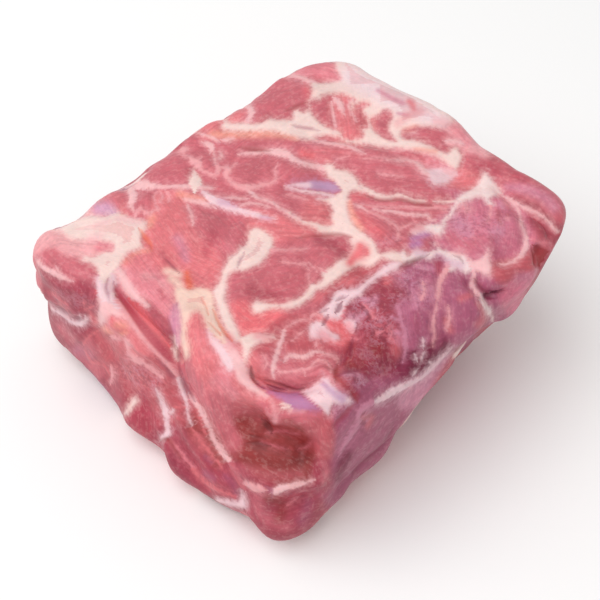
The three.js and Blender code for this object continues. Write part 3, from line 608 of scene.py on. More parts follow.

# Dark folds: name, tone, depth of the cut in millimetres, and lines like those of the seams.
# Most tones here are painted shade of creases, holes, hollows and lips; the orange lines are real colour.
DARK_FOLDS = (
    # Back corner
    ("line over the oval", "brown", 0.6, ((242, 148, 1.5), (251, 149, 3.5), (262, 150, 3.5),
     (270, 151, 1.5))),
    ("sliver in the cream band", "mauve", 0.3, ((294, 126, 2), (303, 128, 3), (311, 129, 3), (318, 131, 1))),
    ("dark line of the back oval", "dark wound", 0.4, ((287, 111, 1.5), (296, 107, 3), (303, 104, 2))),
    # Middle of the top
    ("line under the long seam", "brown", 0.5, ((368, 196, 2), (380, 200, 3), (392, 200, 3), (404, 200, 3),
     (415, 203, 4), (430, 205, 3))),
    ("line over the dark muscle", "brown", 0.4, ((302, 238, 1.5), (320, 236, 2.5), (338, 234, 2.5),
     (350, 237, 1.5))),
    # Right corner
    ("dark heart of the hole", "dark wound", 1.2, ((532, 248, 2), (534, 256, 4), (534, 264, 3)),
     ((537, 249, 8), (543, 256, 14), (541, 264, 9))),
    ("dark end under the knot", "plum", 0.8, ((404, 266, 3), (409, 264, 6), (414, 263, 2))),
    ("dark line in the fat", "plum", 0.4, ((455, 256, 1), (460, 258, 2.5), (463, 262, 1))),
    ("dark line at the cut's head", "maroon", 0.8, ((404, 265, 2), (411, 262, 3.5), (419, 259, 3),
     (427, 256, 1.5))),
    # Front half of the top
    ("slit in the broad fat", "mauve", 0.9, ((244, 255, 1.5), (241, 259, 3), (239, 263, 3), (238, 266, 1.5))),
    ("holes of the rough cut's left edge", "plum", 1.0, ((338, 310, 5), (340, 306, 5)),
     ((338, 300, 2), (342, 298, 3), (346, 297, 2)),
     ((324, 323, 3.5), (327, 318, 3)),
     ((322, 312, 1.5), (326, 310, 2.5))),
    # Right flank
    ("dark fold of the foot", "plum", 1.3, ((475, 281, 2), (477, 286, 4.5), (481, 290, 5), (485, 293, 5),
     (489, 297, 5), (494, 298, 2)),
     ((488, 291, 2), (494, 291.5, 2.5), (502, 290, 1.5))),
    # Left flank
    ("mauve slot beside the slit", "mauve", 0.3, ((108, 280, 1), (106, 287, 2.5), (108, 294, 3),
     (109, 299, 1))),
    ("orange hollow beside the fat", "orange", 0.5, ((141, 231, 3), (145, 237, 5), (150, 244, 4),
     (152, 250, 2))),
    ("slot under the fan muscle", "plum", 0.4, ((167, 261, 1.5), (173, 267, 3), (178, 272, 2))),
    ("slit", "red", 0.4, ((114, 284, 2), (118, 291, 3.5), (124, 300, 5), (130, 309, 6), (136, 318, 7),
     (143, 327, 8), (150, 336, 8), (157, 344, 8), (164, 352, 7.5), (169, 358, 6), (173, 362, 2))),
    ("dark line of the wedge", "plum", 0.6, ((158, 360, 1.5), (166, 368, 3), (172, 376, 3.5),
     (176, 378, 1.5)),
     ((180, 372, 1.5), (182, 380, 3), (185, 389, 3), (188, 396, 2))),
    ("dark ends of the left flank's line", "plum", 0.6, ((58, 307, 1.5), (62, 310, 3.5), (67, 314, 2)),
     ((75, 318, 2), (79, 319, 4))),
    ("dark edge of the strip", "deep red", 0.4, ((169, 320, 1.5), (172, 332, 3), (174, 344, 3),
     (175, 348, 1.5)),
     ((178, 352, 2), (179, 362, 2.5), (180, 370, 2))),
    ("orange lines of the fibrous fat", "orange", 0.4, ((214, 312, 2), (218, 322, 3), (224, 332, 3.5),
     (231, 340, 2.5)),
     ((202, 300, 1), (206, 306, 1.5), (208, 314, 1)),
     ((210, 324, 1.5), (220, 334, 2))),
    # Heart muscle and rough cut
    # Painted shadow along the heart's bottom edge, under its lip.
    ("brown lip of the heart", "maroon", 1.1, ((251, 368, 1.5), (252, 375, 3), (257, 382, 3), (264, 387, 2)),
     ((267, 380, 1.5), (274, 383, 3), (282, 385, 3.5), (290, 388, 3), (298, 390, 2), (304, 388, 1))),
    ("notch beside the white fat", "deep red", 0.6, ((334, 426, 2), (339, 419, 5), (346, 412, 5),
     (352, 406, 2))),
    # Painted shadow: the dark end of the one under the heart's lip.
    ("dark end of the brown lip", "plum", 0.9, ((268, 385, 2), (276, 389, 4), (284, 390, 2))),
    ("dark rim of the cut", "plum", 0.9, ((352, 340, 3), (351, 348, 4), (351, 356, 3)),
     ((348, 352, 2), (345, 360, 3)),
     ((336, 378, 1.5), (342, 374, 3), (350, 372, 3.5), (360, 371, 2)),
     ((342, 358, 2), (341, 364, 2.5))),
    ("brown rim of the red flap", "brown", 0.6, ((338, 364, 2), (336, 372, 4), (336, 380, 2)),
     ((352, 394, 2), (356, 400, 3))),
    # Low left
    ("dark edge of the lilac seam", "plum", 0.5, ((180, 368, 2), (183, 378, 3.5), (187, 388, 3.5),
     (191, 395, 3), (194, 400, 1.5))),
    ("dark end of the thin seam", "brown", 0.5, ((161, 441, 2), (166, 439, 4), (170, 441, 4), (174, 448, 2.5),
     (180, 456, 2))),
    ("dark hollow of the front", "maroon", 1.0, ((264, 420, 3), (268, 425, 6), (271, 430, 4)),
     ((250, 443, 2), (258, 443, 4), (268, 446, 3)),
     ((253, 436, 2), (259, 437, 3), (264, 438, 2))),
    # Front
    ("dark edge over the underside", "plum", 0.5, ((392, 428, 2), (384, 440, 2.5), (372, 452, 3),
     (360, 462, 3), (352, 472, 2.5))),
    # Foot of the front
    ("mauve hollow of the foot", "mauve", 0.7, ((268, 488, 3), (271, 491, 5), (272, 494, 2))),
)

# Soft changes of the flesh, some of them painted shade and sheen: name, tone, strength, and lines of pixels
# with the radius at each.
FLESH_TINTS_AND_SHADES = (
    # Back corner
    ("salmon under the cream band", "pale salmon", 0.9, ((212, 135, 4), (230, 135, 5), (262, 134, 6),
     (284, 135, 5), (296, 139, 3))),
    ("pink of the back band", "pink", 0.4, ((306, 144, 5), (314, 146, 5)), ((272, 147, 4), (286, 148, 4))),
    ("dark column of the knuckled island", "brown rose", 0.7, ((357, 108, 4), (360, 118, 5), (362, 126, 4))),
    ("rose of the knuckled island", "rose", 0.7, ((316, 108, 6), (326, 118, 7), (333, 126, 5)),
     ((382, 118, 7), (386, 130, 6))),
    ("coral end of the back oval", "coral", 0.5, ((306, 86, 4), (307, 96, 4))),
    # Back right
    ("mauve of the rim", "mauve", 0.35, ((432, 119, 4), (444, 126, 5)), ((462, 137, 5), (472, 148, 6))),
    ("pale end of the leaf island", "pale pink", 0.7, ((450, 142, 5), (462, 144, 6), (470, 150, 6))),
    ("pink of the rim", "pink", 0.7, ((452, 128, 5), (458, 134, 6), (466, 144, 5))),
    ("brown of the small red muscle", "brown rose", 0.7, ((402, 156, 5), (416, 156, 5), (422, 160, 4))),
    ("red of the top right muscle", "red", 0.6, ((478, 168, 5), (490, 168, 6), (496, 174, 6)),
     ((510, 172, 4), (524, 182, 4))),
    # Left edge
    ("pale salmon under the level seam", "pale salmon", 0.7, ((180, 194, 5), (188, 197, 4), (204, 200, 4))),
    ("lilac beside the first knuckle", "membrane", 0.9, ((99, 210, 7), (107, 210, 8), (114, 213, 5))),
    # Middle of the top
    ("coral start of the long band", "coral", 0.85, ((302, 154, 4), (312, 156, 5))),
    ("salmon of the long band", "salmon", 0.6, ((320, 152, 5), (340, 152, 5), (360, 156, 5)),
     ((318, 158, 4), (330, 160, 4))),
    ("salmon of the river's right shore", "pale salmon", 0.9, ((349, 202, 3), (351, 212, 4), (355, 222, 5),
     (361, 229, 4))),
    ("coral of the middle right", "coral", 0.6, ((354, 196, 5), (364, 196, 5)),
     ((362, 214, 6), (370, 226, 7), (380, 234, 6))),
    ("dark end of the dark muscle", "dull red", 0.65, ((318, 240, 6), (334, 246, 8), (342, 253, 6))),
    # Right corner
    ("red spot beside the seam", "red", 0.7, ((438, 265, 5), (439, 272, 4))),
    ("lilac of the corner muscle", "lilac pink", 0.75, ((456, 222, 7), (462, 230, 9), (468, 234, 6)),
     ((492, 232, 4), (499, 233, 5)),
     ((500, 204, 3), (502, 208, 3))),
    ("pink of the corner muscle", "pale pink", 0.5, ((460, 206, 6), (468, 210, 6)),
     ((506, 204, 4), (512, 208, 4)),
     ((508, 220, 2.5), (506, 220, 2))),
    ("brown of the corner muscle", "brown", 0.5, ((498, 212, 2.5), (499, 220, 2.5), (501, 226, 2)),
     ((506, 216, 2.5), (508, 216, 2)),
     ((492, 240, 5), (494, 254, 4))),
    ("rose foot of the corner muscle", "rose", 0.5, ((450, 238, 6), (468, 246, 9), (480, 240, 6))),
    ("mauve foot of the corner muscle", "mauve", 0.5, ((495, 243, 5), (495, 256, 5))),
    ("pink of the corner strip", "lilac pink", 0.7, ((508, 188, 5), (526, 190, 6), (544, 198, 6),
     (554, 208, 6))),
    ("red of the corner strip", "deep red", 0.75, ((510, 199, 3), (522, 203, 4), (536, 207, 4)),
     ((542, 214, 4), (552, 222, 5), (560, 228, 4))),
    ("shadow under the corner seam", "deep red", 0.7, ((532, 222, 6), (542, 230, 8), (550, 238, 6))),
    ("violet of the knot", "violet", 0.9, ((414, 240, 5), (420, 236, 6), (426, 234, 5)),
     ((412, 246, 4), (418, 244, 5))),
    # Left corner
    ("orange spot of the fan", "orange", 0.85, ((187, 274, 3), (188, 281, 4), (190, 287, 4))),
    ("lilac of the fan", "lilac pink", 0.6, ((178, 240, 6), (183, 250, 6), (186, 260, 5))),
    ("peach of the fan's head", "pale salmon", 0.8, ((152, 218, 5), (150, 226, 4)),
     ((126, 262, 5), (136, 254, 3), (148, 252, 3))),
    ("red of the fan", "red", 0.5, ((214, 236, 6), (208, 246, 6), (206, 254, 5)),
     ((162, 256, 4), (166, 262, 4)),
     ((160, 292, 4), (164, 298, 4))),
    ("cream foot of the fan's knot", "yellow fat", 0.8, ((166, 272, 4), (172, 274, 5), (178, 276, 5)),
     ((172, 280, 5), (178, 284, 5), (180, 290, 4))),
    ("pink of the fan's left foot", "pale pink", 0.5, ((144, 276, 4), (152, 278, 4)),
     ((162, 284, 4), (168, 292, 4))),
    # Front half of the top
    ("salmon of the long muscle", "salmon", 0.6, ((316, 300, 5), (326, 292, 4)),
     ((344, 282, 4), (352, 284, 4))),
    # Right flank
    ("rose of the big muscle", "rose", 0.85, ((478, 304, 4), (484, 314, 5), (478, 324, 5)),
     ((460, 300, 4), (470, 296, 4)),
     ((446, 320, 4), (450, 330, 4))),
    ("lilac of the columns", "lilac pink", 0.75, ((418, 268, 3), (432, 270, 3)),
     ((414, 292, 3), (416, 302, 4), (414, 308, 3)),
     ((432, 288, 3), (432, 298, 4)),
     ((422, 286, 2), (424, 296, 2))),
    # Left flank
    ("salmon muscle beside the fat", "salmon", 0.6, ((130, 262, 9), (146, 262, 11), (158, 264, 9))),
    ("plum strip beside the slit", "plum", 0.4, ((149, 307, 4), (159, 320, 6), (168, 334, 6))),
    ("coral beside the white line", "coral", 0.6, ((92, 316, 4), (96, 322, 4)),
     ((108, 312, 4), (112, 318, 4))),
    ("rose of the middle left flank", "rose", 0.65, ((62, 326, 4), (74, 338, 5)),
     ((90, 344, 5), (96, 350, 5)),
     ((92, 366, 5), (100, 374, 5))),
    # Painted sheen: the light spots of the wet left flank.
    ("light patches of the left flank", "lilac pink", 0.4, ((80, 350, 8), (88, 356, 6))),
    ("rose between the low seams", "rose", 0.6, ((198, 439, 7), (204, 448, 7))),
    ("pink edge of the fan muscle", "pink", 0.5, ((230, 246, 6), (234, 250, 5))),
    ("pale of the salmon flesh", "pale salmon", 0.7, ((104, 328, 3), (112, 332, 3)),
     ((118, 324, 4), (126, 326, 4)),
     ((122, 334, 3), (128, 332, 2))),
    # Heart muscle and rough cut
    ("dark foot of the heart muscle", "deep red", 0.5, ((250, 291, 6), (264, 295, 7), (280, 297, 5))),
    ("coral patch of the rough cut", "coral", 0.8, ((386, 278, 4), (390, 281, 4), (386, 284, 3))),
    ("lilac of the rough cut", "lilac pink", 0.8, ((363, 300, 3), (372, 303, 5), (376, 298, 3)),
     ((356, 318, 4), (350, 316, 3)),
     ((366, 312, 3), (362, 318, 3)),
     ((392, 318, 2), (398, 320, 2)),
     ((396, 332, 3), (400, 334, 3))),
    ("light lilac round the cut", "lilac pink", 0.45, ((336, 411, 6), (342, 408, 5)),
     ((396, 278, 8), (400, 284, 6)),
     ((397, 337, 6), (399, 344, 4)),
     ((517, 277, 6), (524, 276, 5))),
    ("shade at the left of the cut", "maroon", 0.42, ((350, 368, 7), (354, 372, 6))),
    ("dark red edge beside the front fat", "dark wound", 0.6, ((335, 372, 4), (340, 382, 5), (350, 391, 5),
     (356, 396, 4))),
    ("dark wound of the cut", "dark wound", 0.5, ((352, 346, 6), (350, 362, 7), (362, 366, 8)),
     ((372, 340, 6), (376, 352, 8))),
    ("plum shade of the cut", "plum", 0.35, ((366, 374, 10), (384, 364, 10), (400, 366, 10))),
    ("lilac at the cut's foot", "lilac pink", 0.7, ((344, 376, 3), (354, 375, 4), (360, 378, 3))),
    # Low right
    ("mauve of the columns' middle", "mauve", 0.6, ((412, 330, 4), (414, 346, 4)),
     ((424, 338, 3), (420, 350, 4)),
     ((440, 338, 3), (436, 348, 3))),
    # Front
    ("pale rim under the skin", "pale pink", 0.6, ((272, 400, 2.5), (276, 412, 3), (276, 420, 3)),
     ((292, 410, 3), (304, 410, 3))),
    ("brown patch of the front", "brown", 0.55, ((284, 420, 3), (292, 420, 4)),
     ((262, 414, 3), (268, 418, 3))),
    # Painted shade of the front's hollows.
    ("darkest of the front", "maroon", 0.45, ((298, 460, 8), (308, 456, 8)),
     ((266, 426, 4), (270, 420, 4)),
     ((256, 446, 4), (264, 448, 4))),
    ("light foot of the front", "rose", 0.45, ((246, 468, 6), (262, 474, 7), (282, 476, 6), (300, 474, 5))),
    ("brown at the head of the front", "brown", 0.6, ((242, 420, 7), (256, 416, 7))),
    ("pink of the tip", "pink", 0.3, ((258, 500, 6), (264, 514, 6), (286, 526, 6))),
    ("brown of the tip", "brown", 0.6, ((268, 497, 5), (282, 503, 7), (280, 517, 7))),
    ("mauve of the tip", "mauve", 0.55, ((308, 502, 6), (302, 520, 7))),
    ("rose right of the bracket", "rose", 0.8, ((362, 418, 4), (370, 416, 4), (366, 426, 3))),
    ("pink of the dull foot", "pink", 0.45, ((322, 462, 3), (326, 470, 3), (322, 480, 3))),
    ("plum wedge of the strip", "plum", 0.95, ((347, 454, 5), (341, 465, 6), (336, 476, 5))),
    # Foot of the front
    ("plum edge of the lower left", "plum", 0.3, ((172, 458, 5), (182, 472, 6), (198, 486, 5))),
    ("mauve of the broad strip", "mauve", 0.65, ((206, 474, 5), (214, 478, 4)),
     ((226, 476, 3), (234, 484, 4), (236, 494, 3)),
     ((206, 456, 3), (212, 462, 3))),
)

# Soft changes of the fat, in the same form.
FAT_TINTS = (
    ("pink of the lilac fat", "pale pink", 0.6, ((446, 171, 4), (452, 174, 4))),
    ("pink of the knot", "pink", 0.7, ((409, 230, 4), (421, 228, 4)), ((437, 237, 3), (438, 245, 4))),
    ("violet end of the front fat", "violet", 0.5, ((338, 386, 4), (344, 396, 4))),
    ("pink of the fat at the left of the cut", "pink", 0.6, ((349, 325, 5), (352, 330, 4)),
     ((322, 336, 7), (328, 338, 5))),
    ("pink of the strands left of the heart", "pink", 0.6, ((229, 338, 5), (234, 346, 5)),
     ((258, 336, 6), (268, 337, 6))),
    ("pink edge of the corner fat", "pink", 0.6, ((451, 250, 4), (460, 253, 4))),
    ("lilac of the fat round the knot", "membrane", 0.5, ((416, 252, 6), (424, 254, 5)),
     ((438, 256, 4), (452, 264, 5), (460, 266, 6))),
    ("cool white of the cap", "cool fat", 0.85, ((350, 76, 12), (372, 88, 12), (396, 100, 12), (424, 114, 10),
     (444, 122, 7))),
    ("lilac streaks of the cap", "lilac pink", 0.7, ((378, 91, 2.5), (390, 98, 3), (403, 104, 3)),
     ((398, 114, 2), (408, 116, 2))),
    ("red spot of the cap", "coral", 0.8, ((409, 102, 3), (412, 105, 4), (414, 110, 3))),
    ("pink of the cap's end", "pale pink", 0.6, ((398, 124, 5), (408, 117, 5), (420, 112, 5)),
     ((436, 122, 5), (446, 124, 6))),
    ("salmon of the cap's end", "pale salmon", 0.6, ((406, 131, 4), (416, 127, 3)),
     ((416, 150, 3), (436, 152, 3))),
    ("grey of the grey-edged fat", "membrane", 0.6, ((222, 202, 5), (236, 206, 3)),
     ((262, 218, 3), (270, 219, 3))),
    ("pale end of the silverskin", "lilac fat", 0.85, ((290, 185, 3), (300, 186, 4), (308, 186, 4))),
    ("blush of the pale fat", "blush fat", 0.7, ((92, 240, 6), (100, 236, 5)),
     ((118, 219, 4), (130, 221, 5), (140, 222, 5)),
     ((96, 226, 3), (110, 222, 3))),
    ("coral in the long fat", "coral", 0.95, ((360, 246, 4), (361, 252, 9), (354, 258, 6), (350, 263, 5)),
     ((367, 254, 4), (366, 250, 4))),
    ("silverskin under the heart", "silverskin", 0.75, ((324, 384, 3), (332, 392, 4), (342, 400, 4))),
)

# Flesh that is torn or lies under a thin membrane: name, strength, and such lines.
TORN_FLESH = (
    ("rough cut", 0.9, ((362, 304, 14), (376, 318, 18), (380, 334, 16)), ((352, 314, 8), (356, 324, 8))),
    ("rough flesh right of the cut", 0.7, ((404, 276, 8), (410, 290, 9), (396, 300, 9))),
    ("cut's foot", 0.8, ((350, 378, 7), (362, 384, 7))),
    ("deep red cut", 0.4, ((366, 356, 14), (384, 372, 14))),
    ("lilac columns", 0.5, ((418, 276, 9), (424, 300, 9))),
    ("corner muscle", 0.5, ((462, 214, 12), (468, 234, 12), (484, 222, 12)), ((500, 222, 9), (496, 236, 9))),
    ("rough flesh of the left flank", 0.6, ((126, 368, 10), (142, 376, 12), (156, 384, 8))),
    ("upper left flank", 0.4, ((62, 296, 12), (80, 302, 14))),
    ("bracket under the lilac fat", 0.6, ((338, 412, 7), (346, 408, 6)), ((366, 412, 5), (362, 424, 5))),
    ("rough edge of the red muscle", 0.5, ((384, 244, 7), (398, 240, 7))),
)

# The photograph's camera: size of the picture, focal length in pixels, direction in degrees,
# distance and aim in millimetres.
PHOTO_SIDE = 600
FOCAL_PIXELS = 1200
CAMERA_AZIMUTH = 45
CAMERA_ELEVATION = 47
CAMERA_DISTANCE = 640
CAMERA_AIM = (0, 0, 52)
MILLIMETRES_A_PIXEL = CAMERA_DISTANCE / FOCAL_PIXELS

# The marks fade out where the surface turns away from the camera, between these cosines.
TURNING_AWAY = (0.02, 0.16)

# How quickly the tone changes from one muscle to the next, and how quickly and how roundly a
# soft change of tone fades about its line. Beyond its reach in radii it is nothing.
MUSCLE_SHARPNESS = 5
TINT_FADING = 1.1
TINT_ROUNDNESS = 2.4
TINT_REACH = 2.2

# Muscles lie this far apart in the space that their fibres' noise is taken from.
MUSCLE_STEP = 20.0

# A hair-thin line hides this share of what a broad one does.
THIN_COVER = 0.62

# Beyond this many pixels outside a seam nothing of it is kept.
FAR_OUTSIDE = -9.0

# Lines are kept in this many groups, so that those of one group keep this far apart in pixels.
# Where a point lies between two lines of a group that are nearer, depth alone tells them apart.
LINE_GROUPS = 3
CLEAR_GAP = 6.0

# The stage's light is bright enough to whiten the floor, and the tones are dimmed to match.
# The moist film adds an even veil of light, which is taken off them too.
TONE_SHARE = 0.95
GLOSS_VEIL = 0.05

# Linear colours of torn flesh: its pale network, and the painted shade of its small pits.
NETWORK_COLOUR = (0.62, 0.34, 0.44, 1)
PIT_SHADE_COLOUR = (0.22, 0.045, 0.07, 1)

# How deep light goes into the meat in millimetres, how far of that its red, green and blue
# spread, and how rough the moist film is.
LIGHT_DEPTH = 2.5
LIGHT_SPREAD = (1.0, 0.4, 0.25)
FILM_ROUGHNESS = 0.25

# Muscles of the hidden sides: seed, spacing in millimetres across, along and up, how far they
# are bent in each of these directions, their turn in degrees, and tones.
HIDDEN_SEED = 11
HIDDEN_SPACING = (42, 84, 36)
HIDDEN_BEND = (9, 14, 8)
HIDDEN_TURN = 12
HIDDEN_TONES = ("rose", "red", "mauve", "salmon", "deep red", "rose", "red")

# Width of the seams between them in millimetres: mean and change.
HIDDEN_SEAM = (1.2, 2.6)

# How many millimetres from its seams a muscle's bulge is nearly full.
BULGE_REACH = 2.6

# Width of the camera's sensor in millimetres.
SENSOR_WIDTH = 36


def linear_colour(tone):
    """The surface's own colour, linear, for a tone from 0 to 255 as it looks in the stage's light."""
    share = np.array(TONES[tone], float) / 255
    linear = np.where(share <= 0.04045, share / 12.92, ((share + 0.055) / 1.055) ** 2.4)
    return TONE_SHARE * np.maximum(linear - GLOSS_VEIL, 0.2 * linear)


def smooth_step(value, start, end):
    """0 below start, 1 above end, and an S-curve between them."""
    share = np.clip((value - start) / (end - start), 0, 1)
    return share * share * (3 - 2 * share)


def round_corner(u, v, inner_u, inner_v, radius_u, radius_v):
    """Draws a square corner beyond its inner point onto a round one of the same reach."""
    du = (u - inner_u) / radius_u
    dv = (v - inner_v) / radius_v
    distance = np.maximum(np.hypot(du, dv), 1e-9)
    scale = np.maximum(np.abs(du), np.abs(dv)) / distance
    return inner_u + radius_u * du * scale, inner_v + radius_v * dv * scale


def round_box(points):
    """Points of a cube from -1 to 1 become those of a box with round upright and level edges."""
    x, y, z = points.T
    outward = np.maximum(np.maximum(np.abs(x), np.abs(y)), 1e-9)
    straight = 1 - PLAN_ROUNDING
    plan_x = x / outward
    plan_y = y / outward
    plan_x, plan_y = round_corner(
        plan_x, plan_y,
        np.clip(plan_x, -straight, straight), np.clip(plan_y, -straight, straight),
        PLAN_ROUNDING, PLAN_ROUNDING,
    )
    above = z > 0
    inward = np.where(above, TOP_ROUNDING["inward"], UNDERSIDE_ROUNDING["inward"])
    down = np.where(above, TOP_ROUNDING["down"], UNDERSIDE_ROUNDING["down"])
    across, height = round_corner(
        outward, z,
        np.minimum(outward, 1 - inward), np.clip(z, down - 1, 1 - down),
        inward, down,
    )
    return np.stack([plan_x * across, plan_y * across, height], axis=1)


def stretch_to_corners(points):
    """Each point is the mean of the eight corners, weighted by how near it is to each."""
    x, y, z = points.T
    share = (z + 1) / 2
    placed = np.zeros_like(points)
    sides = {"left": (-1, -1), "front": (1, -1), "right": (1, 1), "back": (-1, 1)}
    for corner, (side_x, side_y) in sides.items():
        weight = (1 + side_x * x) * (1 + side_y * y) / 4
        post = np.outer(1 - share, UNDERSIDE[corner]) + np.outer(share, TOP[corner])
        placed += weight[:, None] * post
    return placed


def apply_pushes(points):
    """Each push moves the points near it, fading as a bell curve of the distance."""
    for name, at, reach, by in PUSHES:
        distance = np.linalg.norm(points - np.array(at, float), axis=1)
        points = points + np.exp(-(distance / reach) ** 2)[:, None] * np.array(by, float)
    return points


def vertex_normals(points, quads):
    """Mean direction of the quads round each point, larger quads counting for more."""
    crosswise = np.cross(points[quads[:, 2]] - points[quads[:, 0]], points[quads[:, 3]] - points[quads[:, 1]])
    normals = np.zeros_like(points)
    for corner in range(4):
        for axis in range(3):
            normals[:, axis] += np.bincount(quads[:, corner], crosswise[:, axis], len(points))
    return normals / np.maximum(np.linalg.norm(normals, axis=1, keepdims=True), 1e-12)


def evened(points, faces, share):
    """Eases the cells that a deep fold pinches: each point moves towards the mean of its faces."""
    corners = faces.ravel()
    count = np.bincount(corners, minlength=len(points))
    for turn in range(EVENING_TURNS):
        middles = np.repeat(points[faces].mean(axis=1), 4, axis=0)
        sums = np.stack([np.bincount(corners, axis, len(points)) for axis in middles.T], axis=1)
        points = points + share[:, None] * (sums / count[:, None] - points)
    return points


def distance_along_surface(points, normals, line):
    """Distance to a line of points in which the part straight through the surface hardly counts."""
    least = np.full(len(points), np.inf)
    line = np.array(line, float)
    for start, end in zip(line[:-1], line[1:]):
        along = end - start
        share = np.clip((points - start) @ along / (along @ along), 0, 1)
        away = points - (start + share[:, None] * along)
        through = (away * normals).sum(axis=1)
        least = np.minimum(least, np.sqrt(np.maximum((away * away).sum(axis=1) - 0.8 * through**2, 0)))
    return least


def rise_of_folds(points, normals):
    """Sum of the folds, each a bell curve of the distance to its line."""
    rise = np.zeros(len(points))
    for name, height, width, line in FOLDS:
        rise += height * np.exp(-(distance_along_surface(points, normals, line) / width) ** 2)
    return rise


def rise_of_waves(points):
    """Sum of sine waves, each bent by the one before it."""
    rise = np.zeros(len(points))
    level = 0
    for along, length, height, start in WAVES:
        direction = np.array(along) / np.linalg.norm(along)
        level = np.sin(2 * np.pi * (points @ direction) / length + start + CREST_BEND * level)
        rise += height * level
    return rise


def cube_surface(along, across, high, rings):
    """A closed cube from -1 to 1: a grid on its top and sides, and rings under it.

    The rings are copies of the lower rim drawn in towards the middle, close together where
    the edge is rounded, and a last fan closes them.
    """
    index = np.full((along + 1, across + 1, high + 1), -1)
    i, j, k = np.meshgrid(*(np.arange(count + 1) for count in (along, across, high)), indexing="ij")
    shell = (i == 0) | (i == along) | (j == 0) | (j == across) | (k == high)
    index[shell] = np.arange(shell.sum())
    points = np.stack([i[shell], j[shell], k[shell]], axis=1) / (along, across, high) * 2 - 1

    def quads(sheet):
        corners = (sheet[:-1, :-1], sheet[1:, :-1], sheet[1:, 1:], sheet[:-1, 1:])
        return np.stack(corners, axis=-1).reshape(-1, 4)

    faces = [
        quads(index[:, :, high]),
        quads(index[:, 0, :]),
        quads(index[:, across, :])[:, ::-1],
        quads(index[0, :, :])[:, ::-1],
        quads(index[along, :, :]),
    ]
    rim = np.concatenate([index[:-1, 0, 0], index[-1, :-1, 0], index[:0:-1, -1, 0], index[0, :0:-1, 0]])
    edge = 1 - np.linspace(0, UNDERSIDE_ROUNDING["inward"], rings // 2 + 1)[1:]
    floor = np.linspace(edge[-1], 0, rings - rings // 2 + 2)[1:-1]
    outer = rim
    for share in np.concatenate([edge, floor]):
        inner = len(points) + np.arange(len(rim))
        ring = points[rim] * (share, share, 1)
        points = np.concatenate([points, ring])
        faces.append(np.stack([outer, inner, np.roll(inner, -1), np.roll(outer, -1)], axis=1))
        outer = inner
    middle = np.full(len(rim), len(points))
    points = np.concatenate([points, [[0, 0, -1]]])
    fan = np.stack([outer, middle, middle, np.roll(outer, -1)], axis=1)
    return points, np.concatenate(faces), fan


def photo_axes():
    """Place of the photograph's camera, and its right, up and backward directions."""
    azimuth = math.radians(CAMERA_AZIMUTH)
    elevation = math.radians(CAMERA_ELEVATION)
    back = np.array([
        math.sin(azimuth) * math.cos(elevation),
        -math.cos(azimuth) * math.cos(elevation),
        math.sin(elevation),
    ])
    right = np.array([math.cos(azimuth), math.sin(azimuth), 0])
    up = np.cross(back, right)
    return np.array(CAMERA_AIM) + CAMERA_DISTANCE * back, right, up, back


def photo_pixels(points, normals):
    """Pixel of each point in the photograph, and the cosine between its normal and the camera."""
    place, right, up, back = photo_axes()
    away = points - place
    depth = -(away @ back)
    middle = PHOTO_SIDE / 2
    across = middle + FOCAL_PIXELS * (away @ right) / depth
    down = middle - FOCAL_PIXELS * (away @ up) / depth
    facing = -(away * normals).sum(axis=1) / np.linalg.norm(away, axis=1)
    return np.stack([across, down], axis=1), facing


def smooth_path(points, closed=False, steps=4):
    """A curve through the points whose slope at each one is that between its neighbours."""
    points = np.array(points, float)
    if closed:
        points = np.concatenate([points[-1:], points, points[:2]])
    else:
        points = np.concatenate([2 * points[:1] - points[1:2], points, 2 * points[-1:] - points[-2:-1]])
    share = (np.arange(steps) / steps)[None, :, None]
    a, b, c, d = (points[k:len(points) - 3 + k][:, None, :] for k in range(4))
    square = 2 * a - 5 * b + 4 * c - d
    cube = 3 * b - a - 3 * c + d
    curve = 2 * b + (c - a) * share + square * share**2 + cube * share**3
    curve = (curve / 2).reshape(-1, points.shape[1])
    return curve if closed else np.concatenate([curve, points[-2:-1]])


def distances_to_pieces(pixels, starts, ends):
    """Distance from each pixel to each straight piece, and where along the piece it is nearest."""
    along = ends - starts
    away = pixels[:, None, :] - starts[None]
    share = (away * along).sum(axis=-1) / np.maximum((along * along).sum(axis=-1), 1e-9)
    share = np.clip(share, 0, 1)
    return np.linalg.norm(away - share[..., None] * along, axis=-1), share


def close_to(pixels, path, margin):
    """Numbers of the pixels inside the path's box with a margin."""
    low = path[:, :2].min(axis=0) - margin
    high = path[:, :2].max(axis=0) + margin
    return np.nonzero(((pixels > low) & (pixels < high)).all(axis=1))[0]


def nothing_near(count):
    """The three numbers of a line for points that are far from all of them."""
    return np.tile((-FAR_OUTSIDE, 0.0, FAR_OUTSIDE), (count, 1))


def within_line(pixels, line):
    """Signed distance to a line's middle, half its width there, and the depth inside it.

    The signed distance is above 0 to the left of the line. It changes evenly across the
    line, so that the mesh keeps a line that is narrower than its cells.
    """
    found = nothing_near(len(pixels))
    path = smooth_path(line)
    chosen = close_to(pixels, path, path[:, 2].max() / 2 - FAR_OUTSIDE)
    if len(chosen):
        starts, ends = path[:-1, :2], path[1:, :2]
        distance, share = distances_to_pieces(pixels[chosen], starts, ends)
        half = (path[:-1, 2] + share * (path[1:, 2] - path[:-1, 2])) / 2
        piece = (half - distance).argmax(axis=1)
        row = np.arange(len(chosen))
        along = (ends - starts)[piece]
        away = pixels[chosen] - starts[piece]
        side = np.where(along[:, 0] * away[:, 1] > along[:, 1] * away[:, 0], 1, -1)
        distance = distance[row, piece]
        half = half[row, piece]
        depth = np.maximum(half - distance, FAR_OUTSIDE)
        found[chosen] = np.stack([side * distance, half, depth], axis=1)
    return found


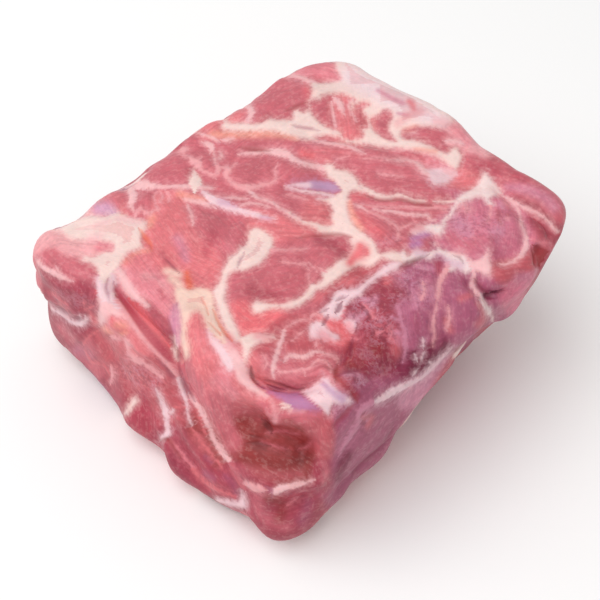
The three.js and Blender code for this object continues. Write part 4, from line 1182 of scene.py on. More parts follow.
def within_outline(pixels, outline):
    """The same three numbers for a closed outline: 0, and twice the depth inside it."""
    found = nothing_near(len(pixels))
    path = smooth_path(outline, closed=True, steps=3)
    chosen = close_to(pixels, path, -FAR_OUTSIDE)
    if len(chosen):
        after = np.roll(path, -1, axis=0)
        distance = distances_to_pieces(pixels[chosen], path, after)[0].min(axis=1)
        x, y = pixels[chosen, 0:1], pixels[chosen, 1:2]
        slope = (after[:, 0] - path[:, 0]) / (after[:, 1] - path[:, 1] + 1e-12)
        spans = (path[:, 1] > y) != (after[:, 1] > y)
        crossings = spans & (x < path[:, 0] + (y - path[:, 1]) * slope)
        inside = crossings.sum(axis=1) % 2 == 1
        depth = np.where(inside, distance, np.maximum(-distance, FAR_OUTSIDE))
        found[chosen] = np.stack([0 * depth, depth, depth], axis=1)
    return found


def blush_strength(pixels, strength, line):
    """The strength at the line, fading to nothing about two radii away from it."""
    share = np.zeros(len(pixels))
    path = smooth_path(line)
    chosen = close_to(pixels, path, TINT_REACH * path[:, 2].max())
    if len(chosen):
        distance, along = distances_to_pieces(pixels[chosen], path[:-1, :2], path[1:, :2])
        radius = path[:-1, 2] + along * (path[1:, 2] - path[:-1, 2])
        radii = (distance / radius).min(axis=1)
        share[chosen] = strength * np.exp(-TINT_FADING * radii**TINT_ROUNDNESS)
    return share


def strongest(pixels, strength, lines):
    """The greatest strength of several soft lines."""
    return np.max([blush_strength(pixels, strength, line) for line in lines], axis=0)


def blend_tones(colours, pixels, tints):
    """Mixes each soft change of tone into the colours in turn."""
    for name, tone, strength, *lines in tints:
        share = strongest(pixels, strength, lines)[:, None]
        colours = colours + (linear_colour(tone) - colours) * share
    return colours


def fibre_place(pixels, line, number):
    """Distance across and along a muscle's line, which goes straight on beyond its ends."""
    path = smooth_path(line)
    pieces = path[1:] - path[:-1]
    lengths = np.linalg.norm(pieces, axis=1)
    starts = np.concatenate([[0], np.cumsum(lengths)[:-1]])
    nearest = distances_to_pieces(pixels, path[:-1], path[1:])[0].argmin(axis=1)
    away = pixels - path[nearest]
    direction = (pieces / lengths[:, None])[nearest]
    across = away[:, 0] * direction[:, 1] - away[:, 1] * direction[:, 0]
    along = starts[nearest] + (away * direction).sum(axis=1)
    return np.stack([across, along, np.full(len(pixels), MUSCLE_STEP * number)], axis=1)


def seen_muscles(pixels):
    """Tone of the flesh, and the number of the muscle whose line is nearest.

    The tone is that of the muscles' lines, the nearest counting for most.
    """
    nearness = np.empty((len(pixels), len(MUSCLES)))
    for number, (name, tone, reach, line) in enumerate(MUSCLES):
        path = smooth_path(line)
        distance = distances_to_pieces(pixels, path[:-1], path[1:])[0].min(axis=1)
        nearness[:, number] = distance / reach
    share = np.exp(-MUSCLE_SHARPNESS * (nearness - nearness.min(axis=1, keepdims=True)))
    share /= share.sum(axis=1, keepdims=True)
    tones = np.array([linear_colour(tone) for name, tone, reach, line in MUSCLES])
    return share @ tones, nearness.argmin(axis=1)


def groups_of_lines(lines):
    """A group for each line, the first one whose lines are all clear of it, or else the clearest."""
    paths = [smooth_path(line, steps=2) for line in lines]
    groups = []
    for path in paths:
        clearance = np.full(LINE_GROUPS, np.inf)
        for group, other in zip(groups, paths):
            apart = np.linalg.norm(path[:, None, :2] - other[None, :, :2], axis=2)
            gap = (apart - (path[:, None, 2] + other[None, :, 2]) / 2).min()
            clearance[group] = min(clearance[group], gap)
        clear = np.nonzero(clearance > CLEAR_GAP)[0]
        groups.append(clear[0] if len(clear) else clearance.argmax())
    return groups


class NearestLine:
    """Keeps the tone of the line or sheet that each pixel is deepest in, and three numbers a group."""

    def __init__(self, count, tone):
        self.tone = np.tile(linear_colour(tone), (count, 1))
        self.depth = np.full(count, FAR_OUTSIDE)
        self.numbers = np.tile(nothing_near(count), (LINE_GROUPS, 1, 1))
        self.sides = np.full((LINE_GROUPS, 2, count), FAR_OUTSIDE)

    def lay(self, tone, found, group=0):
        deeper = found[:, 2] > self.depth
        self.tone[deeper] = linear_colour(tone)
        self.depth[deeper] = found[deeper, 2]
        nearer = found[:, 2] > self.numbers[group][:, 2]
        self.numbers[group][nearer] = found[nearer]
        for side, chosen in enumerate((found[:, 0] > 0, found[:, 0] < 0)):
            self.sides[group, side, chosen] = np.maximum(self.sides[group, side, chosen], found[chosen, 2])

    def cut(self, found):
        """Takes an outline away from the sheets, which are in the first group."""
        higher = -found[:, 2] < self.depth
        self.depth[higher] = -found[higher, 2]
        self.numbers[0][higher] = -found[higher]

    def settled(self):
        """The three numbers of each group, with the side left out where its lines crowd."""
        crowded = self.sides.min(axis=1) > -CLEAR_GAP
        depth = self.numbers[..., 2]
        plain = np.stack([0 * depth, depth, depth], axis=-1)
        return np.where(crowded[..., None], plain, self.numbers)


def seen_fat(pixels):
    """The three numbers of the nearest fat or sinew in pixels, and its tint."""
    nearest = NearestLine(len(pixels), "cream fat")
    for name, tissue, *outlines in SHEETS:
        for outline in outlines:
            nearest.lay(tissue, within_outline(pixels, outline))
    for name, *outlines in ISLANDS:
        for outline in outlines:
            nearest.cut(within_outline(pixels, outline))
    seams = [(tissue, line) for name, tissue, *lines in SEAMS for line in lines]
    for (tissue, line), group in zip(seams, groups_of_lines([line for tissue, line in seams])):
        nearest.lay(tissue, within_line(pixels, line), group)
    return nearest.settled(), blend_tones(nearest.tone, pixels, FAT_TINTS)


def seen_folds(pixels):
    """The three numbers of the nearest dark fold in pixels, its tone, which is mostly painted shade, and its
    cut in millimetres.
    """
    nearest = NearestLine(len(pixels), "plum")
    cut = np.zeros(len(pixels))
    folds = [(tone, deep, line) for name, tone, deep, *lines in DARK_FOLDS for line in lines]
    for (tone, deep, line), group in zip(folds, groups_of_lines([line for tone, deep, line in folds])):
        found = within_line(pixels, line)
        nearest.lay(tone, found, group)
        cut = np.maximum(cut, deep * smooth_step(found[:, 2], -2, 1.5))
    return nearest.settled(), nearest.tone, cut


def seen_speckle(pixels):
    """Strength of the pale network, and of the painted shade of the pits, of torn or membrane-covered flesh.
    """
    strengths = [strongest(pixels, strength, lines) for name, strength, *lines in TORN_FLESH]
    return np.max(strengths, axis=0)


def drift(points, length, seed):
    """A smooth wandering value from about -1 to 1: a product of bent sine waves."""
    source = np.random.default_rng(seed)
    value = 0
    for octave in range(3):
        directions = source.normal(size=(2, 3))
        directions /= np.linalg.norm(directions, axis=1, keepdims=True)
        phases = source.uniform(0, 2 * np.pi, 2)
        first, second = (2 * np.pi * 1.7**octave / length * points @ directions.T + phases).T
        value = value + np.sin(first + 1.3 * value) * np.cos(second + value) / 1.6**octave
    return value / 1.4


def cap_of_back_edge(points, normals):
    """How much of each point the cap of fat covers, down over the back right face."""
    facing = smooth_step(normals[:, 1], 0.05, 0.4)
    height = points[:, 2] + 14 * drift(points, 60, 3)
    across = points[:, 0] + 10 * drift(points, 40, 4)
    return facing * smooth_step(height, 26, 60) * smooth_step(across, 34, -6)


def hidden_muscles(points, normals):
    """Tone, fibres, muscle number and depth in fat of the sides the photograph doesn't show.

    Long muscles are the cells round seeded points, measured with their length drawn in.
    A seam lies where a point is about as near to the second seed as to the first, and the
    cap of fat of the back edge reaches down over the back right face.
    """
    source = np.random.default_rng(HIDDEN_SEED)
    turn = math.radians(HIDDEN_TURN)
    turned = points @ np.array([
        [math.cos(turn), -math.sin(turn), 0],
        [math.sin(turn), math.cos(turn), 0],
        [0, 0, 1],
    ])
    spacing = np.array(HIDDEN_SPACING, float)
    bend = np.stack([drift(points, 70, HIDDEN_SEED + axis) for axis in range(3)], axis=1)
    place = (turned + bend * HIDDEN_BEND) / spacing
    low = np.floor(place.min(axis=0)) - 1
    high = np.ceil(place.max(axis=0)) + 1
    cells = np.stack(np.meshgrid(*(np.arange(a, b) for a, b in zip(low, high)), indexing="ij"), -1)
    seeds = cells.reshape(-1, 3) + source.uniform(0, 0.9, (cells.size // 3, 3))
    distance = np.linalg.norm(place[:, None, :] - seeds[None], axis=2)
    order = np.argpartition(distance, 2, axis=1)[:, :2]
    pair = np.sort(np.take_along_axis(distance, order, axis=1), axis=1)
    nearest = distance.argmin(axis=1)
    tones = np.array([linear_colour(tone) for tone in HIDDEN_TONES])
    flesh = tones[source.integers(0, len(tones), len(seeds))][nearest]
    width = HIDDEN_SEAM[0] + HIDDEN_SEAM[1] * drift(points, 55, HIDDEN_SEED + 5)
    depth = width - (pair[:, 1] - pair[:, 0]) * 18
    cap = cap_of_back_edge(points, normals)
    depth = np.maximum(depth, 5 - 14 * (1 - cap) - 4 * np.abs(drift(points, 34, 8)))
    fibres = np.stack([turned[:, 0] + turned[:, 2], turned[:, 1]], axis=1)
    cream = linear_colour("cream fat")
    tint = cream + (linear_colour("lilac fat") - cream) * cap[:, None]
    return flesh, fibres, nearest, np.maximum(depth, FAR_OUTSIDE / 2), tint


def bare_paint(pixels):
    """The values of the surface's points before anything is painted, and their pixels."""
    count = len(pixels)
    return {
        "pixels": pixels,
        "flesh": np.zeros((count, 3)),
        "fat_tint": np.zeros((count, 3)),
        "fat_line": np.zeros((LINE_GROUPS, count, 3)),
        "fold_line": np.tile(nothing_near(count), (LINE_GROUPS, 1, 1)) * MILLIMETRES_A_PIXEL,
        "fold_shade_and_colour": np.tile(linear_colour("plum"), (count, 1)),
        "speckle": np.zeros(count),
        "cut": np.zeros(count),
        "muscle": np.zeros(count, int),
        "hidden_fibres": np.zeros((count, 2)),
    }


def paint_hidden(paint, points, normals, seen):
    """Paints the points that face away from the photograph's camera by the seeded rule."""
    back = np.nonzero(seen < 1)[0]
    share = (1 - seen[back])[:, None]
    flesh, fibres, number, depth, tint = hidden_muscles(points[back], normals[back])
    paint["flesh"][back] += flesh * share
    paint["fat_tint"][back] += tint * share
    paint["fat_line"][:, back] += np.stack([0 * depth, depth, depth], axis=1) * share
    paint["muscle"][back] = -1 - number
    paint["hidden_fibres"][back] = fibres


def paint_seen(paint, seen):
    """Paints the points that face the photograph's camera by its marks."""
    front = np.nonzero(seen > 0)[0]
    share = seen[front][:, None]
    pixels = paint["pixels"][front]
    tone, number = seen_muscles(pixels)
    paint["flesh"][front] += blend_tones(tone, pixels, FLESH_TINTS_AND_SHADES) * share
    paint["muscle"][front] = np.where(seen[front] > 0.5, number, paint["muscle"][front])
    lines, tint = seen_fat(pixels)
    paint["fat_tint"][front] += tint * share
    paint["fat_line"][:, front] += lines * MILLIMETRES_A_PIXEL * share
    lines, tone, cut = seen_folds(pixels)
    lines = np.where(share > 0.5, lines * MILLIMETRES_A_PIXEL, paint["fold_line"][:, front])
    paint["fold_line"][:, front] = lines
    paint["fold_shade_and_colour"][front] = tone
    paint["cut"][front] = cut * share[:, 0]
    paint["speckle"][front] = seen_speckle(pixels) * share[:, 0]


def paint_meat(points, normals, muscle_bulge, seam_rise):
    """What each point of the surface is made of, and how far its relief stands out.

    The part by the seeded rule and the part by the marks blend where the surface turns away
    from the photograph's camera.
    """
    pixels, facing = photo_pixels(points, normals)
    seen = smooth_step(facing, *TURNING_AWAY)
    paint = bare_paint(pixels)
    paint_hidden(paint, points, normals, seen)
    paint_seen(paint, seen)
    depth = paint["fat_line"][..., 2].max(axis=0)
    between = np.clip(-depth, 0, None)
    bulge = muscle_bulge * (1 - np.exp(-(between / BULGE_REACH) ** 2))
    paint["rise"] = bulge + seam_rise * smooth_step(depth, -0.6, 1.2) - paint["cut"]
    return paint


def fibres_at_corners(paint, quads, triangles):
    """How far each corner of each face is across and along the fibres of the face's own muscle.

    The muscle is that of the face's first corner, so that no face blends two muscles.
    """
    muscle = paint["muscle"]
    corners = np.concatenate([quads.ravel(), triangles.ravel()])
    owner = np.concatenate([np.repeat(muscle[quads[:, 0]], 4), np.repeat(muscle[triangles[:, 0]], 3)])
    fibres = np.concatenate([paint["hidden_fibres"][corners], MUSCLE_STEP * owner[:, None]], axis=1)
    for number, (name, tone, reach, line) in enumerate(MUSCLES):
        chosen = owner == number
        if chosen.any():
            place = fibre_place(paint["pixels"][corners[chosen]], line, number)
            fibres[chosen] = place * (MILLIMETRES_A_PIXEL, MILLIMETRES_A_PIXEL, 1)
    return fibres


def mesh_from_arrays(name, points, quads, triangles):
    """A smooth mesh of quads and triangles, with its points in metres."""
    mesh = bpy.data.meshes.new(name)
    mesh.from_pydata(points.tolist(), [], quads.tolist() + triangles.tolist())
    mesh.polygons.foreach_set("use_smooth", [True] * len(mesh.polygons))
    mesh.update()
    return mesh


def store_paint(mesh, paint):
    """Each list of values becomes an attribute of the mesh's points."""
    for name in ("flesh", "fat_tint", "fold_shade_and_colour"):
        layer = mesh.attributes.new(name, "FLOAT_COLOR", "POINT")
        layer.data.foreach_set("color", np.insert(paint[name], 3, 1, axis=1).ravel())
    for name in ("fat_line", "fold_line"):
        for group in range(LINE_GROUPS):
            layer = mesh.attributes.new(f"{name}_{group}", "FLOAT_VECTOR", "POINT")
            layer.data.foreach_set("vector", paint[name][group].ravel())
    layer = mesh.attributes.new("fibre", "FLOAT_VECTOR", "CORNER")
    layer.data.foreach_set("vector", paint["fibre"].ravel())
    mesh.attributes.new("speckle", "FLOAT", "POINT").data.foreach_set("value", paint["speckle"])


class Wire:
    """A socket of a node tree, whose sums, products and powers add Math nodes."""

    def __init__(self, tree, socket):
        self.tree = tree
        self.socket = socket

    def math(self, operation, *values):
        sockets = {number: value for number, value in enumerate(values)}
        return add_node(self.tree, "ShaderNodeMath", {"operation": operation}, sockets)

    def __add__(self, other):
        return self.math("ADD", self, other)

    def __radd__(self, other):
        return self.math("ADD", other, self)

    def __sub__(self, other):
        return self.math("SUBTRACT", self, other)

    def __rsub__(self, other):
        return self.math("SUBTRACT", other, self)

    def __mul__(self, other):
        return self.math("MULTIPLY", self, other)

    def __rmul__(self, other):
        return self.math("MULTIPLY", other, self)

    def step(self, start, end):
        """0 below start, 1 above end and smooth between them."""
        settings = {"interpolation_type": "SMOOTHSTEP"}
        sockets = {"Value": self, "From Min": start, "From Max": end}
        return add_node(self.tree, "ShaderNodeMapRange", settings, sockets)


def add_node(tree, kind, settings=None, sockets=None, output=0):
    """Adds a node, sets it, then fills its sockets with values or links. Gives one output."""
    node = tree.nodes.new(kind)
    for name, value in (settings or {}).items():
        setattr(node, name, value)
    for key, value in (sockets or {}).items():
        socket = node.inputs[key]
        if isinstance(value, Wire):
            tree.links.new(value.socket, socket)
        else:
            socket.default_value = value
    return Wire(tree, node.outputs[output])


def mix_colours(tree, share, first, second):
    """Mixes two colours. The share is a number or a wire."""
    settings = {"data_type": "RGBA"}
    sockets = {0: share, 6: first, 7: second}
    return add_node(tree, "ShaderNodeMix", settings, sockets, output=2)


def brighten(tree, colour, factor):
    """Multiplies a colour by a wire."""
    return add_node(tree, "ShaderNodeVectorMath", {"operation": "SCALE"}, {0: colour, 3: factor})


def stretched(tree, vector, scale):
    """A vector with each of its parts multiplied by its own number."""
    return add_node(tree, "ShaderNodeVectorMath", {"operation": "MULTIPLY"}, {0: vector, 1: scale})


def noise(tree, vector, detail=2.0, roughness=0.5):
    """A noise value from 0 to 1 with cells about one unit wide."""
    sockets = {"Vector": vector, "Scale": 1.0, "Detail": detail, "Roughness": roughness}
    return add_node(tree, "ShaderNodeTexNoise", None, sockets)


def cell_borders(tree, vector, width):
    """1 on the borders between cells about one unit wide, fading to 0 over the width."""
    sockets = {"Vector": vector, "Scale": 1.0}
    edge = add_node(tree, "ShaderNodeTexVoronoi", {"feature": "DISTANCE_TO_EDGE"}, sockets)
    return 1.0 - edge.step(0.0, width)


def bent(tree, vector, amount):
    """A vector moved by a noise of its own scale."""
    sockets = {"Vector": vector, "Scale": 1.3, "Detail": 2.0}
    wander = add_node(tree, "ShaderNodeTexNoise", None, sockets, 1)
    sockets = {0: wander, 1: (amount,) * 3, 2: vector}
    return add_node(tree, "ShaderNodeVectorMath", {"operation": "MULTIPLY_ADD"}, sockets)


def depth_in_nearest(tree, attribute):
    """Depth in the line of all groups that a point is deepest in, and half its width."""
    depth, half = depth_in_group(tree, f"{attribute}_0")
    for group in range(1, LINE_GROUPS):
        other_depth, other_half = depth_in_group(tree, f"{attribute}_{group}")
        deeper = (other_depth - depth).step(-0.1, 0.1)
        half = half + (other_half - half) * deeper
        depth = depth.math("MAXIMUM", depth, other_depth)
    return depth, half


def depth_in_group(tree, attribute):
    """Depth in the nearest line of a group, and half its width.

    The side's distance gives the depth also where the line is thinner than a cell.
    """
    numbers = attribute_node(tree, attribute, "Vector")
    side, half, depth = (
        add_node(tree, "ShaderNodeSeparateXYZ", None, {0: numbers}, axis) for axis in range(3)
    )
    near = depth.step(-2.0, -1.3)
    fine = half - side.math("ABSOLUTE", side)
    return depth.math("MAXIMUM", depth, fine * near + (near - 1.0) * 4.0), half


def attribute_node(tree, name, output):
    """Reads one of the mesh's attributes."""
    return add_node(tree, "ShaderNodeAttribute", {"attribute_name": name}, None, output)


def meat_patterns(tree, looks):
    """Streaks along the fibres, the net of sinews, mottling from broad to fine, and torn flesh."""
    fibre = attribute_node(tree, "fibre", "Vector")
    metres = add_node(tree, "ShaderNodeTexCoord", None, None, "Object")

    def cells(size):
        """The place on the meat, with this many millimetres as one unit."""
        return stretched(tree, metres, (1 / size / MILLIMETRE,) * 3)

    def bundles(width, length):
        """The place along and across the fibres, with this width and length as one unit."""
        return stretched(tree, fibre, (1 / width, 1 / length, 1))

    streaks = noise(tree, bundles(looks.fibre_width, looks.fibre_length), 2.0, 0.5)
    sinews = cell_borders(tree, bent(tree, bundles(3.0, 9), 1.4), 0.24)
    patches = noise(tree, cells(15), 2.0)
    mottle = noise(tree, cells(6), 3.0, 0.6)
    blots = noise(tree, cells(2.6), 2.0, 0.6)
    grains = noise(tree, cells(1.4), 2.0, 0.6)
    torn = cell_borders(tree, bent(tree, cells(4.2), 2.2), 0.3)
    return streaks, sinews, patches, mottle, blots, grains, torn


def meat_material(looks):
    """Raw pork: mottled muscle, feathered fat and dark folds, mostly painted shade, from the mesh's
    attributes.
    """
    material = bpy.data.materials.new("raw_pork")
    material.use_nodes = True
    tree = material.node_tree
    tree.nodes.clear()

    flesh = attribute_node(tree, "flesh", "Color")
    fat_tint = attribute_node(tree, "fat_tint", "Color")
    # The folds' tone is mostly painted shade of creases, holes and lips.
    fold_shade_and_colour = attribute_node(tree, "fold_shade_and_colour", "Color")
    speckle = attribute_node(tree, "speckle", "Fac")
    fat_depth, fat_half = depth_in_nearest(tree, "fat_line")
    fold_depth, fold_half = depth_in_nearest(tree, "fold_line")
    streaks, sinews, patches, mottle, blots, grains, torn = meat_patterns(tree, looks)

    wander = (blots - 0.5) * looks.feather + (streaks - 0.5) * (0.6 * looks.feather)
    feather = wander + (grains - 0.5) * (0.5 * looks.feather)
    in_fat = (fat_depth + feather).step(-1.0, 1.0)
    near_fat = (fat_depth + wander * 2.0).step(-3.4, 0.4)
    in_fold = (fold_depth + feather * 0.8).step(-1.0, 0.9)
    pale_net = torn * mottle.step(0.38, 0.6) * speckle
    # Painted shade of the small pits of torn flesh.
    pit_shade = (blots + (mottle - 0.5) * 0.8).step(0.5, 0.34) * speckle

    factor = (streaks - 0.5) * looks.streak_contrast + (mottle - 0.5) * 0.3 + (patches - 0.5) * 0.35
    factor = factor + (blots - 0.5) * looks.blot_contrast + (grains - 0.5) * looks.grain_contrast
    muscle = brighten(tree, flesh, factor + 1.0)
    muscle = mix_colours(tree, sinews * blots.step(0.4, 0.62) * looks.marbling, muscle, fat_tint)
    muscle = mix_colours(tree, near_fat * looks.halo, muscle, fat_tint)
    muscle = mix_colours(tree, pale_net * 0.55, muscle, NETWORK_COLOUR)
    muscle = mix_colours(tree, pit_shade * 0.5, muscle, PIT_SHADE_COLOUR)
    unevenness = (mottle - 0.5) * 0.16 + (blots - 0.5) * 0.2 + (streaks - 0.5) * 0.1
    fat = brighten(tree, fat_tint, unevenness + 1.0)
    fat_cover = (fat_half.step(0.2, 2.0) * (1 - THIN_COVER) + THIN_COVER) * looks.fat_cover
    fold_cover = (fold_half.step(0.2, 1.6) * (1 - THIN_COVER) + THIN_COVER) * looks.fold_cover
    surface = mix_colours(tree, in_fat * fat_cover, muscle, fat)
    # Painted shade of the folds, laid over the surface.
    surface = mix_colours(tree, in_fold * fold_cover, surface, fold_shade_and_colour)

    height = streaks * 0.3 + grains * 0.1 + blots * 0.3 + mottle * 0.3 - in_fold * 0.4 + in_fat * 0.08
    sockets = {"Strength": looks.bump, "Distance": MILLIMETRE, "Height": height}
    shader = moist_shader(tree, looks, {
        "Base Color": surface,
        "Roughness": (grains - 0.5) * 0.25 + in_fat * 0.04 + looks.roughness,
        "Normal": add_node(tree, "ShaderNodeBump", None, sockets),
    })
    output = tree.nodes.new("ShaderNodeOutputMaterial")
    tree.links.new(shader.socket, output.inputs["Surface"])
    return material


def moist_shader(tree, looks, varying):
    """A soft body that lets some light in, under a thin moist film."""
    sockets = {
        "Subsurface Weight": looks.subsurface,
        "Subsurface Radius": LIGHT_SPREAD,
        "Subsurface Scale": LIGHT_DEPTH * MILLIMETRE,
        "Coat Weight": looks.coat,
        "Coat Roughness": FILM_ROUGHNESS,
        "Specular IOR Level": 0.3,
    }
    return add_node(tree, "ShaderNodeBsdfPrincipled", None, sockets | varying, "BSDF")


class MeatSettings(bpy.types.PropertyGroup):
    """Relief and finish of the meat."""

    muscle_bulge: bpy.props.FloatProperty(
        name="Muscle bulge", description="How far a muscle stands out between its seams, in millimetres",
        default=0.9, min=0, max=3)
    seam_rise: bpy.props.FloatProperty(
        name="Fat rise", description="How far broad fat stands out, in millimetres",
        default=0.5, min=0, max=2)
    fibre_width: bpy.props.FloatProperty(
        name="Fibre width", description="Width of a bundle of fibres in millimetres", default=1.3, min=0.2)
    fibre_length: bpy.props.FloatProperty(
        name="Fibre length", description="Length of a visible streak in millimetres", default=14.0, min=1)
    feather: bpy.props.FloatProperty(
        name="Feathering", description="How far fat frays into the fibres, in millimetres",
        default=2.2, min=0)
    streak_contrast: bpy.props.FloatProperty(
        name="Streak contrast", description="Difference in brightness between bundles of fibres",
        default=0.42, min=0, max=1, subtype="FACTOR")
    grain_contrast: bpy.props.FloatProperty(
        name="Grain contrast", description="Difference in brightness of the finest grain",
        default=0.18, min=0, max=1, subtype="FACTOR")
    blot_contrast: bpy.props.FloatProperty(
        name="Blot contrast", description="Difference in brightness of the small soft blots in the flesh",
        default=0.3, min=0, max=1, subtype="FACTOR")
    marbling: bpy.props.FloatProperty(
        name="Marbling", description="Strength of the thin pale threads of fat in the muscle",
        default=0.1, min=0, max=1, subtype="FACTOR")
    halo: bpy.props.FloatProperty(
        name="Fat halo", description="How pale the muscle turns beside its fat",
        default=0.25, min=0, max=1, subtype="FACTOR")
    fat_cover: bpy.props.FloatProperty(
        name="Fat cover", description="How much of the muscle's colour the fat hides",
        default=0.92, min=0, max=1, subtype="FACTOR")
    # The folds' tone is mostly painted shade, so this sets how dark that painted shade is.
    fold_cover: bpy.props.FloatProperty(
        name="Fold darkness", description="How much of the surface's colour a dark fold hides",
        default=0.66, min=0, max=1, subtype="FACTOR")
    bump: bpy.props.FloatProperty(
        name="Grain relief", description="Strength of the fine relief of fibres and fat",
        default=0.5, min=0, max=1, subtype="FACTOR")
    roughness: bpy.props.FloatProperty(
        name="Roughness", description="Roughness of the moist surface",
        default=0.46, min=0, max=1, subtype="FACTOR")
    coat: bpy.props.FloatProperty(
        name="Moisture", description="Strength of the thin moist film",
        default=0.08, min=0, max=1, subtype="FACTOR")
    subsurface: bpy.props.FloatProperty(
        name="Softness", description="Share of the light that passes through the meat",
        default=0.12, min=0, max=1, subtype="FACTOR")
    cells_along: bpy.props.IntProperty(
        name="Cells along", description="Cells of the mesh along the block", default=168)
    cells_across: bpy.props.IntProperty(
        name="Cells across", description="Cells of the mesh across the block", default=184)
    cells_high: bpy.props.IntProperty(
        name="Cells high", description="Cells of the mesh up the sides", default=74)
    rings_under: bpy.props.IntProperty(
        name="Rings under", description="Rings of cells under the block", default=16)


class StageSettings(bpy.types.PropertyGroup):
    """Floor, light and camera."""

    floor_size: bpy.props.FloatProperty(
        name="Floor size", description="Side of the square floor", default=12.0, unit="LENGTH")
    floor_colour: bpy.props.FloatVectorProperty(
        name="Floor colour", description="Colour of the plain floor", default=(0.97, 0.97, 0.97),
        size=3, min=0, max=1, subtype="COLOR")
    sky_colour: bpy.props.FloatVectorProperty(
        name="Room light", description="Colour of the light from all round", default=(1.0, 0.99, 0.98),
        size=3, min=0, max=1, subtype="COLOR")
    sky_strength: bpy.props.FloatProperty(
        name="Room light strength", description="Brightness of the light from all round", default=0.58, min=0)
    key_power: bpy.props.FloatProperty(
        name="Key light", description="Power of the large soft light", default=30.0, unit="POWER")
    key_size: bpy.props.FloatProperty(
        name="Key light size", description="Side of the large soft light", default=2.2, unit="LENGTH")
    key_distance: bpy.props.FloatProperty(
        name="Key light distance", description="Distance of the large soft light", default=2.0, unit="LENGTH")
    key_azimuth: bpy.props.FloatProperty(
        name="Key light direction", description="Direction of the light round the block",
        default=math.radians(-25), subtype="ANGLE")
    key_elevation: bpy.props.FloatProperty(
        name="Key light height", description="Height of the light above the horizon",
        default=math.radians(62), subtype="ANGLE")


class MEAT_OT_build_block(bpy.types.Operator):
    """Build the block of raw meat, with its relief, its seams of fat and its material"""

    bl_idname = "meat.build_block"
    bl_label = "Build the meat"

    def execute(self, context):
        looks = context.scene.meat_settings
        counts = (looks.cells_along, looks.cells_across, looks.cells_high, looks.rings_under)
        cube, quads, fan = cube_surface(*counts)
        points = apply_pushes(stretch_to_corners(round_box(cube)))
        faces = np.concatenate([quads, fan])
        broad_normals = vertex_normals(points, faces)
        above_floor = smooth_step(points[:, 2], 0, FLAT_HEIGHT)
        rise = above_floor * (rise_of_folds(points, broad_normals) + rise_of_waves(points))
        points = evened(points + rise[:, None] * broad_normals, faces, above_floor)
        normals = vertex_normals(points, faces)
        paint = paint_meat(points, broad_normals, looks.muscle_bulge, looks.seam_rise)
        points = points + (above_floor * paint["rise"])[:, None] * normals
        points[:, 2] = np.maximum(points[:, 2], 0)
        middle = middle_of_floor(points)
        points -= middle
        context.scene["block_middle"] = middle.tolist()
        triangles = fan[:, [0, 1, 3]]
        mesh = mesh_from_arrays("pork_shoulder_meat", points * MILLIMETRE, quads, triangles)
        paint["fibre"] = fibres_at_corners(paint, quads, triangles)
        store_paint(mesh, paint)
        mesh.materials.append(meat_material(looks))
        meat = bpy.data.objects.new("pork_shoulder_meat", mesh)
        context.scene.collection.objects.link(meat)
        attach(meat, "root")
        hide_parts("shoulder_block")
        return {"FINISHED"}


def middle_of_floor(points):
    """The point of the floor under the middle of the block's box."""
    return (points.min(axis=0) + points.max(axis=0)) / 2 * (1, 1, 0)


class MEAT_OT_build_stage(bpy.types.Operator):
    """Lay the pale floor, set the soft lights and place the camera of the photograph"""

    bl_idname = "meat.build_stage"
    bl_label = "Build the stage"

    def execute(self, context):
        stage = context.scene.meat_stage
        lay_floor(stage)
        light_room(stage)
        place_key_light(stage)
        place_camera(context.scene)
        context.scene.view_settings.view_transform = "Standard"
        return {"FINISHED"}


def lay_floor(stage):
    """A flat square of one colour under the block."""
    half = stage.floor_size / 2
    corners = np.array([[-half, -half, 0], [half, -half, 0], [half, half, 0], [-half, half, 0]])
    mesh = bpy.data.meshes.new("floor")
    mesh.from_pydata(corners.tolist(), [], [(0, 1, 2, 3)])
    material = bpy.data.materials.new("pale_floor")
    material.use_nodes = True
    tree = material.node_tree
    shader = tree.nodes["Principled BSDF"]
    metres = add_node(tree, "ShaderNodeTexCoord", None, None, "Object")
    mottle = noise(tree, stretched(tree, metres, (3, 3, 3)))
    colour = (*stage.floor_colour, 1)
    paint = mix_colours(tree, mottle * 0.02, colour, (1, 1, 1, 1))
    tree.links.new(paint.socket, shader.inputs["Base Color"])
    shader.inputs["Roughness"].default_value = 0.9
    shader.inputs["Specular IOR Level"].default_value = 0.1
    mesh.materials.append(material)
    floor = bpy.data.objects.new("floor", mesh)
    bpy.context.scene.collection.objects.link(floor)


def light_room(stage):
    """Even light from all round."""
    world = bpy.data.worlds.new("studio")
    world.use_nodes = True
    background = world.node_tree.nodes["Background"]
    background.inputs["Color"].default_value = (*stage.sky_colour, 1)
    background.inputs["Strength"].default_value = stage.sky_strength
    bpy.context.scene.world = world


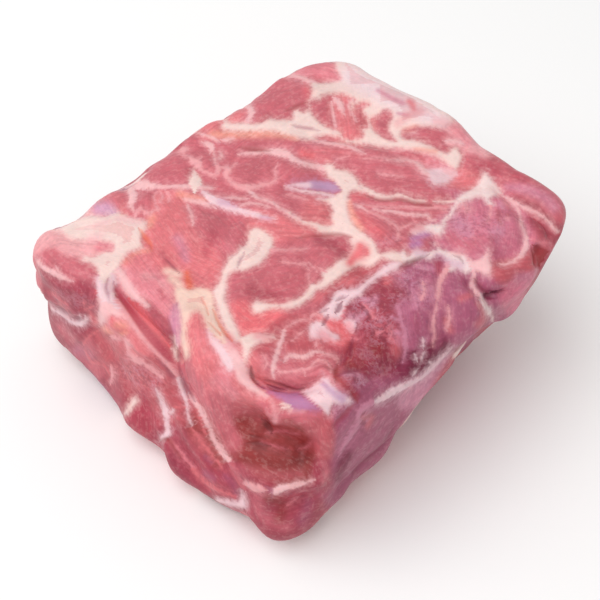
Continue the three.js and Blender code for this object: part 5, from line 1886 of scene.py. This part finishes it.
def place_key_light(stage):
    """One large soft light above and to the left of the camera, aimed at the block."""
    data = bpy.data.lights.new("key_light", "AREA")
    data.shape = "SQUARE"
    data.size = stage.key_size
    data.energy = stage.key_power
    light = bpy.data.objects.new("key_light", data)
    level = math.cos(stage.key_elevation)
    direction = np.array([
        math.sin(stage.key_azimuth) * level,
        -math.cos(stage.key_azimuth) * level,
        math.sin(stage.key_elevation),
    ])
    light.location = direction * stage.key_distance
    light.rotation_euler = (math.pi / 2 - stage.key_elevation, 0, stage.key_azimuth)
    bpy.context.scene.collection.objects.link(light)


def place_camera(scene):
    """The photograph's camera, moved with the block as its middle goes over the origin."""
    place = photo_axes()[0] - np.array(scene["block_middle"])
    data = bpy.data.cameras.new("photo_camera")
    data.sensor_width = SENSOR_WIDTH
    data.lens = SENSOR_WIDTH * FOCAL_PIXELS / PHOTO_SIDE
    data.clip_start = 0.01
    camera = bpy.data.objects.new("photo_camera", data)
    camera.location = place * MILLIMETRE
    camera.rotation_euler = (math.radians(90 - CAMERA_ELEVATION), 0, math.radians(CAMERA_AZIMUTH))
    scene.collection.objects.link(camera)
    scene.camera = camera


class MEAT_PT_panel(bpy.types.Panel):
    """Sidebar panel with the settings and the two operators"""

    bl_label = "Pork shoulder block"
    bl_idname = "MEAT_PT_panel"
    bl_space_type = "VIEW_3D"
    bl_region_type = "UI"
    bl_category = "Meat"

    def draw(self, context):
        for settings, operator in (("meat_settings", "meat.build_block"), ("meat_stage", "meat.build_stage")):
            group = getattr(context.scene, settings)
            box = self.layout.box()
            for name in group.__annotations__:
                box.prop(group, name)
            box.operator(operator)


CLASSES = (MeatSettings, StageSettings, MEAT_OT_build_block, MEAT_OT_build_stage, MEAT_PT_panel)


def register():
    """Adds the classes, and their settings to each scene."""
    for entry in CLASSES:
        bpy.utils.register_class(entry)
    bpy.types.Scene.meat_settings = bpy.props.PointerProperty(type=MeatSettings)
    bpy.types.Scene.meat_stage = bpy.props.PointerProperty(type=StageSettings)


def unregister():
    """Takes away what register added."""
    del bpy.types.Scene.meat_stage
    del bpy.types.Scene.meat_settings
    for entry in reversed(CLASSES):
        bpy.utils.unregister_class(entry)


def main():
    """Builds the meat and the stage."""
    register()
    bpy.ops.meat.build_block()
    bpy.ops.meat.build_stage()


if __name__ == "__main__":
    main()
